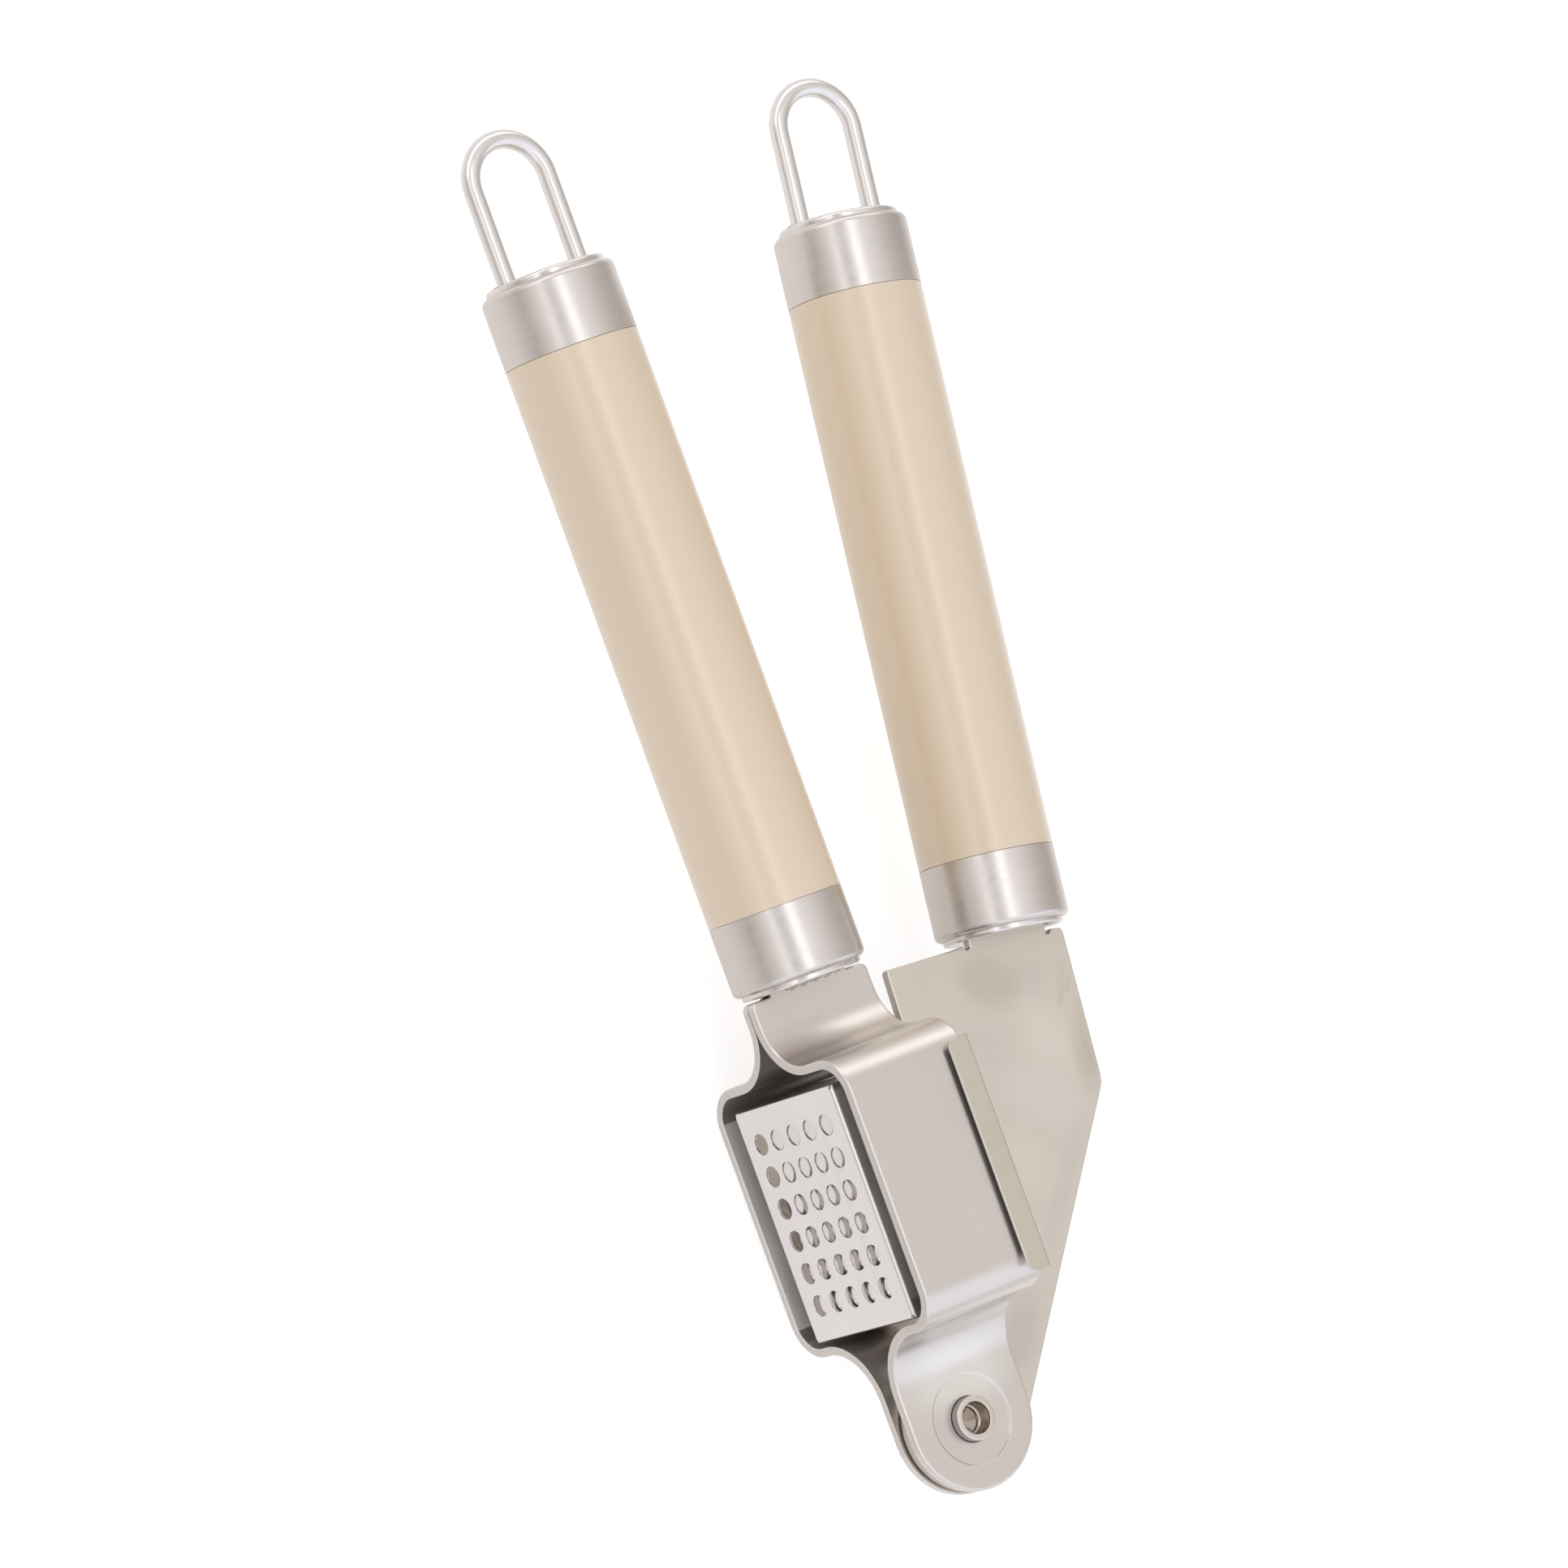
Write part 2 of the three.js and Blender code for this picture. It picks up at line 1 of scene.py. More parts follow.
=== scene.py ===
# Garlic press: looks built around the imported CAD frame.  Working numbers are millimetres with
# X = 0 at the middle of the strainer holes, Y = 0 on the lower handle's axis, Z = 0 on the mid
# plane; put() turns them into metres in the part's frame.
import math
import random

import bmesh
import bpy
import numpy as np
from mathutils import Matrix, Vector
from mathutils.geometry import tessellate_polygon


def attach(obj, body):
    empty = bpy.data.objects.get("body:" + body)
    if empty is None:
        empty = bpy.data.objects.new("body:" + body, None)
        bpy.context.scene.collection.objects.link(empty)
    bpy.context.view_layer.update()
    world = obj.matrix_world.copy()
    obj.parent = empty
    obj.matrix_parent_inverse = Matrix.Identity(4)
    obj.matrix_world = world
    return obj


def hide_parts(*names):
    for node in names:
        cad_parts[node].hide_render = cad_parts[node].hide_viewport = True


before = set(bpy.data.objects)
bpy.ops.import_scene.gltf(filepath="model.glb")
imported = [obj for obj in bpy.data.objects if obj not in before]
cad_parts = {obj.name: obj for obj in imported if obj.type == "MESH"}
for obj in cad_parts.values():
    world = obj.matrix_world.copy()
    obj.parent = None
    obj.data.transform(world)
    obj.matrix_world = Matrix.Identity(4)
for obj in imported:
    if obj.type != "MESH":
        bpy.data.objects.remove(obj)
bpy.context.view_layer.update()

OFFSET = np.array([55.55, -24.48, 17.8])
REST = math.radians(8.5)
C8, S8 = math.cos(REST), math.sin(REST)
UP0 = (-37.59, 36.0)
LOW0 = (-41.45, 0.0)
PIVOT = (32.9, 0.0)
PIN = (0.0, -2.9)


# ------------------------------------------------------------------ mesh helpers
def add_object(name, me, mat, body, nodes=(), sharp=32.0, weighted=True):
    ob = bpy.data.objects.new(name, me)
    bpy.context.scene.collection.objects.link(ob)
    me.materials.append(mat)
    me.shade_smooth()
    me.set_sharp_from_angle(angle=math.radians(sharp))
    if weighted:
        w = ob.modifiers.new("weighted", "WEIGHTED_NORMAL")
        w.keep_sharp = True
        w.weight = 60
    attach(ob, body)
    if nodes:
        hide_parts(*nodes)
    return ob


def put(name, V, F, mat, body, nodes=(), sharp=32.0, weld=1e-3, weighted=True):
    """Closed mesh from working millimetres."""
    V = (np.asarray(V, float) + OFFSET) / 1000.0
    me = bpy.data.meshes.new(name)
    me.from_pydata(V.tolist(), [], [tuple(int(i) for i in f) for f in F])
    bm = bmesh.new()
    bm.from_mesh(me)
    if weld:
        bmesh.ops.remove_doubles(bm, verts=bm.verts, dist=weld / 1000.0)
    bad = [f for f in bm.faces if f.calc_area() < 1e-16]
    if bad:
        bmesh.ops.dissolve_degenerate(bm, edges=bm.edges, dist=1e-8)
    bmesh.ops.recalc_face_normals(bm, faces=bm.faces)
    bm.to_mesh(me)
    bm.free()
    return add_object(name, me, mat, body, nodes, sharp, weighted)


def cut_edge(ob, mat, test):
    """Gives some faces of a piece their own material: a sheet's sheared edge, or faces painted darker or lighter as
    shade or highlight.
    """
    ob.data.materials.append(mat)
    k = len(ob.data.materials) - 1
    for p in ob.data.polygons:
        if test(p.center, p.normal):
            p.material_index = k


class Build:
    """Collects vertices and faces of one piece."""

    def __init__(self):
        self.V, self.F = [], []

    def add(self, V, F):
        b = len(self.V)
        self.V.extend([tuple(map(float, v)) for v in V])
        self.F.extend([tuple(int(i) + b for i in f) for f in F])

    def arrays(self):
        return np.array(self.V, float), self.F


def fillet(points, step=9.0):
    """(x, y, r) corners to a closed polyline with rounded corners."""
    out = []
    n = len(points)
    for i in range(n):
        p = np.array(points[i][:2], float)
        r = points[i][2] if len(points[i]) > 2 else 0.0
        a = np.array(points[i - 1][:2], float) - p
        b = np.array(points[(i + 1) % n][:2], float) - p
        la, lb = np.linalg.norm(a), np.linalg.norm(b)
        if r <= 0 or la < 1e-9 or lb < 1e-9:
            out.append(p)
            continue
        a, b = a / la, b / lb
        cosang = float(np.clip(a @ b, -1, 1))
        ang = math.acos(cosang)
        if math.pi - ang < math.radians(1.0):
            out.append(p)
            continue
        d = r / math.tan(ang / 2)
        d = min(d, 0.49 * la, 0.49 * lb)
        r = d * math.tan(ang / 2)
        bis = (a + b) / np.linalg.norm(a + b)
        c = p + bis * (r / math.sin(ang / 2))
        t0, t1 = p + a * d, p + b * d
        a0 = math.atan2(*(t0 - c)[::-1])
        a1 = math.atan2(*(t1 - c)[::-1])
        da = (a1 - a0 + math.pi) % (2 * math.pi) - math.pi
        k = max(2, int(math.ceil(abs(math.degrees(da)) / step)))
        for j in range(k + 1):
            t = a0 + da * j / k
            out.append(c + r * np.array([math.cos(t), math.sin(t)]))
    res = [out[0]]
    for q in out[1:]:
        if np.linalg.norm(q - res[-1]) > 0.02:
            res.append(q)
    if np.linalg.norm(res[0] - res[-1]) < 0.02:
        res.pop()
    return np.array(res)


def arc2(cx, cy, r, a0, a1, n):
    return [(cx + r * math.cos(math.radians(a0 + (a1 - a0) * i / n)), cy + r * math.sin(math.radians(a0 + (a1 - a0) * i / n)), 0) for i in range(n + 1)]


def area2(P):
    x, y = P[:, 0], P[:, 1]
    return 0.5 * float(np.sum(x * np.roll(y, -1) - np.roll(x, -1) * y))


def miter(P):
    """Normals that point out of the material, for a contour with the material on its left."""
    E = np.roll(P, -1, 0) - P
    ne = np.stack([E[:, 1], -E[:, 0]], 1) / np.linalg.norm(E, axis=1)[:, None]
    npv = np.roll(ne, 1, 0)
    m = (ne + npv) / np.maximum(0.35, 1 + np.sum(ne * npv, 1))[:, None]
    return m


def blank(outer, holes, T, re, nseg=3, stepped=(), re_bottom=None, flat=0.0):
    """Flat sheet blank in (u, v, t) with rolled edges.  holes: contours; stepped: (cx, cy, [(r, t) from the top face to the bottom face], segments)."""
    rb = re if re_bottom is None else re_bottom
    prof = [(re * (1 - math.sin(a)), T / 2 - re * (1 - math.cos(a))) for a in [math.pi / 2 * i / nseg for i in range(nseg + 1)]]
    prof += [(rb * (1 - math.cos(a)), -T / 2 + rb * (1 - math.sin(a))) for a in [math.pi / 2 * i / nseg for i in range(nseg + 1)]]
    if flat:
        prof = [(re + flat, T / 2)] + prof + [(rb + flat, -T / 2)]
        stepped = [(cx, cy, [(rt[0][0] + flat, rt[0][1])] + list(rt) + [(rt[-1][0] + flat, rt[-1][1])], seg) for cx, cy, rt, seg in stepped]
    B = Build()
    top, bottom = [], []

    def rings(list_of_rings):
        n = len(list_of_rings[0])
        base = len(B.V)
        V = [p for r in list_of_rings for p in r]
        F = []
        for k in range(len(list_of_rings) - 1):
            for i in range(n):
                j = (i + 1) % n
                F.append((k * n + i, k * n + j, (k + 1) * n + j, (k + 1) * n + i))
        B.add(V, F)
        last = base + (len(list_of_rings) - 1) * n
        top.append(list(range(base, base + n)))
        bottom.append(list(range(last, last + n)))

    for c, P in enumerate([outer] + list(holes)):
        P = np.asarray(P, float)
        if (area2(P) > 0) != (c == 0):
            P = P[::-1]
        N = miter(P)
        rings([[(p[0] - d * m[0], p[1] - d * m[1], t) for p, m in zip(P, N)] for d, t in prof])
    for cx, cy, rt, seg in stepped:
        rings([[(cx + r * math.cos(2 * math.pi * i / seg), cy - r * math.sin(2 * math.pi * i / seg), t) for i in range(seg)] for r, t in rt])
    V = np.array(B.V)
    for loops in (top, bottom):
        polys = [[Vector((V[i][0], V[i][1], 0.0)) for i in lp] for lp in loops]
        flat = [i for lp in loops for i in lp]
        for tri in tessellate_polygon(polys):
            a, b, c = (flat[k] for k in tri)
            if len({a, b, c}) == 3:
                B.F.append((a, b, c))
    return B.arrays()


def cut_lines(V, F, cuts):
    """Splits the faces of a blank along lines: cuts is a list of (axis index, value, keep function or None)."""
    me = bpy.data.meshes.new("tmp")
    me.from_pydata(np.asarray(V).tolist(), [], F)
    bm = bmesh.new()
    bm.from_mesh(me)
    for axis, value, pick in cuts:
        co, no = [0, 0, 0], [0, 0, 0]
        co[axis], no[axis] = value, 1
        if pick is None:
            geom = bm.verts[:] + bm.edges[:] + bm.faces[:]
        else:
            fs = [f for f in bm.faces if pick(f.calc_center_median())]
            es = {e for f in fs for e in f.edges}
            vs = {v for f in fs for v in f.verts}
            geom = list(vs) + list(es) + fs
        bmesh.ops.bisect_plane(bm, geom=geom, dist=1e-6, plane_co=co, plane_no=no, clear_inner=False, clear_outer=False)
    bm.verts.ensure_lookup_table()
    bm.verts.index_update()
    V2 = np.array([v.co[:] for v in bm.verts])
    F2 = [tuple(v.index for v in f.verts) for f in bm.faces]
    bm.free()
    bpy.data.meshes.remove(me)
    return V2, F2


class Path:
    """A chain of lines and arcs in a plane; at(s, t) is the point at length s, offset t to its left."""

    def __init__(self, start, heading, parts):
        self.items = []
        p, h, s = np.array(start, float), math.radians(heading), 0.0
        for kind, *a in parts:
            if kind == "L":
                self.items.append((s, a[0], "L", p.copy(), h, 0.0))
                p = p + a[0] * np.array([math.cos(h), math.sin(h)])
                s += a[0]
            else:
                r, turn = a[0], math.radians(a[1])
                sign = 1.0 if turn > 0 else -1.0
                length = abs(turn) * r
                c = p + sign * r * np.array([-math.sin(h), math.cos(h)])
                self.items.append((s, length, "A", c, h, sign * r))
                h += turn
                p = c + sign * r * np.array([math.sin(h), -math.cos(h)])
                s += length
        self.length = s

    def at(self, s, t):
        it = self.items[0]
        for cand in self.items:
            if s >= cand[0] - 1e-9:
                it = cand
        s0, length, kind, p, h, r = it
        if kind == "L":
            q = p + (s - s0) * np.array([math.cos(h), math.sin(h)])
            return q + t * np.array([-math.sin(h), math.cos(h)])
        a = h + (s - s0) / r
        n = np.array([-math.sin(a), math.cos(a)])
        return p + (t - r) * n

    def bends(self, step_deg=6.0):
        out = []
        for s0, length, kind, p, h, r in self.items:
            if kind == "A":
                k = max(2, int(math.ceil(math.degrees(length / abs(r)) / step_deg)))
                out += [s0 + length * i / k for i in range(k + 1)]
        return out


def lathe(profile, seg, closed=True):
    """(r, a) points turned about the a axis: returns points (a, c, s) and faces; points on the axis are shared."""
    V, F, idx = [], [], []
    for r, a in profile:
        if r < 1e-6:
            idx.append([len(V)] * seg)
            V.append((a, 0.0, 0.0))
        else:
            b = len(V)
            V += [(a, r * math.cos(2 * math.pi * i / seg), r * math.sin(2 * math.pi * i / seg)) for i in range(seg)]
            idx.append(list(range(b, b + seg)))
    n = len(idx)
    for k in range(n if closed else n - 1):
        A, Bn = idx[k], idx[(k + 1) % n]
        for i in range(seg):
            j = (i + 1) % seg
            f = [A[i], A[j], Bn[j], Bn[i]]
            g = []
            for q in f:
                if q not in g:
                    g.append(q)
            if len(g) > 2:
                F.append(tuple(g))
    return np.array(V, float), F


def round_profile(points, step=12.0):
    """(r, a, fillet) points to a dense profile with rounded corners (open chain ends stay)."""
    return [(float(p[0]), float(p[1])) for p in fillet(points, step)]


def low(P):
    P = np.asarray(P, float).copy()
    P[:, 0] += LOW0[0]
    P[:, 1] += LOW0[1]
    return P


def upp(P):
    P = np.asarray(P, float)
    Q = P.copy()
    Q[:, 0] = UP0[0] + P[:, 0] * C8 + P[:, 1] * S8
    Q[:, 1] = UP0[1] - P[:, 0] * S8 + P[:, 1] * C8
    return Q


# ------------------------------------------------------------------ materials
def rgb(r, g, b):
    def lin(c):
        c /= 255.0
        return c / 12.92 if c <= 0.04045 else ((c + 0.055) / 1.055) ** 2.4
    return (lin(r), lin(g), lin(b), 1.0)


class Nodes:
    def __init__(self, name):
        self.mat = bpy.data.materials.new(name)
        self.mat.use_nodes = True
        self.t = self.mat.node_tree
        self.bsdf = next(n for n in self.t.nodes if n.type == "BSDF_PRINCIPLED")
        self.coord = self.t.nodes.new("ShaderNodeTexCoord")

    def new(self, kind, **values):
        n = self.t.nodes.new(kind)
        for k, v in values.items():
            setattr(n, k, v)
        return n

    def link(self, a, b):
        self.t.links.new(a, b)

    def mapping(self, scale, rotation=(0, 0, 0), location=(0, 0, 0)):
        m = self.new("ShaderNodeMapping")
        m.inputs["Scale"].default_value = scale
        m.inputs["Rotation"].default_value = rotation
        m.inputs["Location"].default_value = location
        self.link(self.coord.outputs["Object"], m.inputs["Vector"])
        return m.outputs["Vector"]

    def rotated(self, angle, scale):
        """Object coordinates turned about Z by angle, then scaled."""
        a = self.mapping((1, 1, 1), (0, 0, angle))
        m = self.new("ShaderNodeMapping")
        m.inputs["Scale"].default_value = scale
        self.link(a, m.inputs["Vector"])
        return m.outputs["Vector"]

    def noise(self, vector, scale, detail=2.0, rough=0.5, distortion=0.0):
        n = self.new("ShaderNodeTexNoise")
        n.inputs["Scale"].default_value = scale
        n.inputs["Detail"].default_value = detail
        n.inputs["Roughness"].default_value = rough
        n.inputs["Distortion"].default_value = distortion
        self.link(vector, n.inputs["Vector"])
        return n.outputs["Fac"]

    def ramp(self, fac, stops, interpolation="LINEAR"):
        r = self.new("ShaderNodeValToRGB")
        r.color_ramp.interpolation = interpolation
        e = r.color_ramp.elements
        while len(e) > len(stops):
            e.remove(e[-1])
        while len(e) < len(stops):
            e.new(0.5)
        for k, (p, c) in enumerate(stops):
            e[k].position = p
            e[k].color = c if hasattr(c, "__len__") else (c, c, c, 1)
        self.link(fac, r.inputs["Fac"])
        return r.outputs["Color"]

    def math(self, op, a, b=None, clamp=False):
        m = self.new("ShaderNodeMath", operation=op, use_clamp=clamp)
        for k, v in enumerate((a, b)):
            if v is None:
                continue
            if hasattr(v, "node"):
                self.link(v, m.inputs[k])
            else:
                m.inputs[k].default_value = v
        return m.outputs[0]

    def map_range(self, v, a, b, c, d, smooth=True):
        m = self.new("ShaderNodeMapRange")
        m.interpolation_type = "SMOOTHSTEP" if smooth else "LINEAR"
        for k, x in zip(("From Min", "From Max", "To Min", "To Max"), (a, b, c, d)):
            m.inputs[k].default_value = x
        self.link(v, m.inputs["Value"])
        return m.outputs["Result"]

    def mix(self, fac, a, b, blend="MIX"):
        m = self.new("ShaderNodeMix", data_type="RGBA", blend_type=blend)
        for k, v in ((0, fac), (6, a), (7, b)):
            if hasattr(v, "node"):
                self.link(v, m.inputs[k])
            else:
                m.inputs[k].default_value = v
        return m.outputs[2]

    def patch(self, col, x, y, turned, rx, ry, gain):
        """Multiplies the colour by gain inside a soft ellipse that is fixed on the part."""
        t = -math.radians(turned)
        px, py = (x + OFFSET[0]) / 1000.0, (y + OFFSET[1]) / 1000.0
        sx, sy = 1000.0 / rx, 1000.0 / ry
        v = self.rotated(t, (sx, sy, 0.0))
        d = self.new("ShaderNodeVectorMath", operation="DISTANCE")
        self.link(v, d.inputs[0])
        d.inputs[1].default_value = (sx * (px * math.cos(t) - py * math.sin(t)), sy * (px * math.sin(t) + py * math.cos(t)), 0.0)
        f = self.map_range(d.outputs["Value"], 0.25, 1.0, 1.0, 0.0)
        return self.mix(f, col, self.mix(1.0, col, (gain[0], gain[1], gain[2], 1.0), "MULTIPLY"))

    def bump(self, height, strength, distance, normal=None):
        b = self.new("ShaderNodeBump")
        b.inputs["Strength"].default_value = strength
        b.inputs["Distance"].default_value = distance
        self.link(height, b.inputs["Height"])
        if normal is not None:
            self.link(normal, b.inputs["Normal"])
        return b.outputs["Normal"]

    def set(self, **values):
        for k, v in values.items():
            s = self.bsdf.inputs[k.replace("_", " ")]
            if hasattr(v, "node"):
                self.link(v, s)
            else:
                s.default_value = v
        return self.mat


def shade(c, k):
    return (c[0] * k, c[1] * k, c[2] * k, 1.0)


def steel(name, base, rough=(0.22, 0.34), streak=(40, 40, 40), turn=0.0, streak_bump=0.25, streak_size=1.0,
          grain=5200.0, grain_bump=0.12, tone=0.06, cloud=90.0, cloud_tone=0.03, metal=1.0, patches=()):
    """Brushed or satin steel: streaks (stretched noise), fine grain, slow tone changes, and soft patches of painted
    light and shade (on the lever also a few darker marks).
    patches: (x, y, direction in degrees, half length, half width, colour factors) in working millimetres."""
    n = Nodes(name)
    v = n.rotated(turn, streak)
    lines = n.noise(v, streak_size, 3.0, 0.62)
    grain_f = n.noise(n.mapping((1, 1, 1)), grain, 2.0, 0.6)
    slow = n.noise(n.mapping((1, 1, 1)), cloud, 2.0, 0.5)
    base_lines = n.ramp(lines, [(0.28, shade(base, 1 - tone)), (0.5, base), (0.74, shade(base, 1 + tone * 0.7))])
    tint = n.ramp(slow, [(0.3, (1 - cloud_tone, 1 - cloud_tone * 1.1, 1 - cloud_tone * 1.25, 1)), (0.7, (1 + cloud_tone, 1 + cloud_tone, 1 + cloud_tone, 1))])
    col = n.mix(1.0, base_lines, tint, "MULTIPLY")
    for x, y, turned, rx, ry, gain in patches:
        col = n.patch(col, x, y, turned, rx, ry, gain)
    r1 = n.map_range(lines, 0.3, 0.72, rough[0], rough[1], smooth=False)
    r2 = n.map_range(slow, 0.3, 0.7, -0.02, 0.03, smooth=False)
    ro = n.math("ADD", r1, r2, clamp=True)
    b1 = n.bump(lines, streak_bump, 0.00002)
    b2 = n.bump(grain_f, grain_bump, 0.00001, b1)
    return n.set(Base_Color=col, Metallic=metal, Roughness=ro, Normal=b2), n


def sleeve_material(name, turn):
    n = Nodes(name)
    plain = n.mapping((1, 1, 1))
    fine = n.noise(plain, 3800.0, 2.0, 0.6)
    peel = n.noise(plain, 700.0, 2.0, 0.5)
    slow = n.noise(n.rotated(turn, (12, 60, 60)), 1.0, 2.0, 0.5)
    base = SLEEVE
    col = n.ramp(slow, [(0.3, shade(base, 0.985)), (0.7, shade(base, 1.015))])
    grain = n.ramp(fine, [(0.3, (0.997, 0.997, 0.996, 1)), (0.7, (1.002, 1.002, 1.002, 1))])
    col = n.mix(1.0, col, grain, "MULTIPLY")
    # rare tiny dark specks in the paint
    vor = n.new("ShaderNodeTexVoronoi")
    vor.inputs["Scale"].default_value = 260.0
    vor.inputs["Randomness"].default_value = 1.0
    n.link(plain, vor.inputs["Vector"])
    dot = n.map_range(vor.outputs["Distance"], 0.028, 0.05, 1.0, 0.0)
    rare = n.map_range(n.noise(plain, 130.0, 0.0, 0.5), 0.60, 0.62, 0.0, 1.0)
    speck = n.math("MULTIPLY", dot, rare, clamp=True)
    speck = n.math("MULTIPLY", speck, 0.55)
    col = n.mix(speck, col, (0.30, 0.22, 0.15, 1))
    ro = n.map_range(fine, 0.3, 0.7, 0.28, 0.31, smooth=False)
    b = n.bump(peel, 0.02, 0.00002)
    b = n.bump(fine, 0.006, 0.00001, b)
    return n.set(Base_Color=col, Metallic=0.0, Roughness=ro, Normal=b, Specular_IOR_Level=0.95, Coat_Weight=0.9, Coat_Roughness=0.24)


SLEEVE = (0.640, 0.522, 0.380, 1.0)
PLATE = (0.668, 0.627, 0.590, 1.0)
EDGE = (0.620, 0.590, 0.560, 1.0)
LEVER = (0.682, 0.638, 0.572, 1.0)
STRAINER = (0.772, 0.745, 0.738, 1.0)
FERRULE = (0.650, 0.612, 0.582, 1.0)
WIRE = (0.740, 0.715, 0.700, 1.0)
RIVET = (0.700, 0.660, 0.620, 1.0)

M = {}
# painted highlight: a soft ellipse round (27, 0), on the ears beside the pivot, lifts the plate colour by about a fifth
# and a little bluer; a second one at the neck lifts it by 1 to 2 per cent
M["plate"], _ = steel("plate_satin", PLATE, rough=(0.27, 0.30), streak=(60, 240, 60), streak_bump=0.0, tone=0.006, grain=4200.0, grain_bump=0.0, cloud=55.0, cloud_tone=0.014, metal=0.93,
                      patches=[(27.0, 0.0, 90, 13.0, 6.5, (1.17, 1.20, 1.22)), (-26.0, 1.5, 90, 6.0, 2.5, (1.01, 1.01, 1.02))])
# partly a rougher mill finish, partly painted light: a lighter base than the outside that brightens the gap between the
# basket wall and the plate
M["plate_inside"], _ = steel("plate_inside_mill_painted_light", (0.76, 0.74, 0.72, 1.0), rough=(0.40, 0.52), streak=(90, 900, 90), streak_bump=0.05, tone=0.02, grain_bump=0.05, metal=0.6)
M["plate_edge"], _ = steel("plate_cut_edge", EDGE, rough=(0.34, 0.46), streak=(500, 500, 2600), streak_bump=0.14, tone=0.04, grain_bump=0.12, cloud=150.0, cloud_tone=0.02, metal=0.93)
# the lever's ground face: soft cloudy tone; painted reflections: lighter and darker patches across the face and a
# darker band inside the slanted edge; small darker marks near its top corner
LEVER_PAINTED_REFLECTIONS_AND_MARKS = [
    (-7.0, 39.5, -6, 7.0, 2.6, (0.89, 0.895, 0.86)), (-9.5, 41.0, -6, 10.0, 1.3, (0.94, 0.93, 0.90)),
    (-21.5, 28.5, 60, 7.5, 5.0, (0.88, 0.87, 0.84)), (-20.0, 34.5, 80, 5.0, 4.0, (0.955, 0.96, 0.97)),
    (-12.0, 35.0, 20, 8.0, 5.0, (1.05, 1.05, 1.06)), (-4.0, 30.0, 60, 10.0, 6.0, (1.04, 1.05, 1.08)),
    (-13.0, 24.5, 30, 6.0, 4.5, (0.965, 0.985, 1.02)), (2.0, 23.0, 40, 9.0, 6.0, (1.05, 1.06, 1.05)),
    (25.0, 13.5, 141, 8.0, 4.0, (0.89, 0.905, 0.95)), (9.0, 28.3, 141, 20.0, 2.0, (0.955, 0.965, 1.0)),
    (-18.2, 40.4, 150, 3.6, 1.3, (0.95, 0.935, 0.91)), (-16.0, 39.4, 140, 2.4, 0.5, (0.93, 0.915, 0.89)), (-17.2, 41.2, 145, 2.6, 0.45, (0.94, 0.925, 0.90)),
]
M["lever"], _ = steel("lever_ground", LEVER, rough=(0.30, 0.37), streak=(700, 60, 120), turn=math.radians(12), streak_bump=0.03, tone=0.010, grain=4200.0, grain_bump=0.03, cloud=48.0, cloud_tone=0.022, metal=0.95, patches=LEVER_PAINTED_REFLECTIONS_AND_MARKS)
M["lever_edge"], _ = steel("lever_cut_edge", (0.50, 0.455, 0.41, 1.0), rough=(0.30, 0.44), streak=(500, 500, 2600), streak_bump=0.2, tone=0.08, grain_bump=0.12, cloud=150.0, cloud_tone=0.03)
M["strainer"], _ = steel("strainer_bright", STRAINER, rough=(0.10, 0.16), streak=(50, 50, 1800), streak_bump=0.04, tone=0.012, grain_bump=0.05, cloud=80.0, cloud_tone=0.010, metal=0.93)
M["ferrule_low"], _ = steel("ferrule_turned_low", FERRULE, rough=(0.24, 0.33), streak=(900, 40, 40), streak_bump=0.015, tone=0.010, grain_bump=0.0, cloud=110.0, cloud_tone=0.022)
M["ferrule_up"], _ = steel("ferrule_turned_up", FERRULE, rough=(0.24, 0.33), streak=(900, 40, 40), turn=REST, streak_bump=0.015, tone=0.010, grain_bump=0.0, cloud=110.0, cloud_tone=0.022)
M["disc"], _ = steel("disc_satin", (0.72, 0.685, 0.66, 1.0), rough=(0.15, 0.21), streak=(60, 60, 60), streak_bump=0.015, tone=0.012, grain_bump=0.02)
M["wire"], _ = steel("wire_polished", WIRE, rough=(0.20, 0.24), streak=(20, 60, 60), streak_bump=0.0, tone=0.012, grain_bump=0.0, cloud=200.0, cloud_tone=0.015)
M["rivet"], _ = steel("rivet_bright", RIVET, rough=(0.12, 0.22), streak=(900, 900, 300), streak_bump=0.12, tone=0.04, grain_bump=0.08)
# painted shade: the basket's own steel with a darker, yellower base for the lip, which looks darker than the basket
# floor
M["basket_lip"], _ = steel("basket_lip_painted_shade", (0.640, 0.605, 0.525, 1.0), rough=(0.16, 0.24), streak=(600, 60, 60), streak_bump=0.04, tone=0.015, grain_bump=0.03, cloud=80.0, cloud_tone=0.012)
# painted shade: a darker copy of the rivet steel for the rim's side wall, for the shadow in the coined recess
M["rivet_wall"], _ = steel("rivet_side_wall_painted_shade", (0.40, 0.375, 0.36, 1.0), rough=(0.30, 0.42), streak=(300, 300, 3000), streak_bump=0.3, tone=0.10, grain_bump=0.10)
# painted shade: a darker, browner copy of the rivet steel for the bore walls, for the shade and bounced light deep in
# the bore
M["rivet_bore_painted_shade"], _ = steel("rivet_bore_painted_shade", (0.47, 0.40, 0.34, 1.0), rough=(0.16, 0.26), streak=(300, 300, 4000), streak_bump=0.2, tone=0.12, grain_bump=0.05)
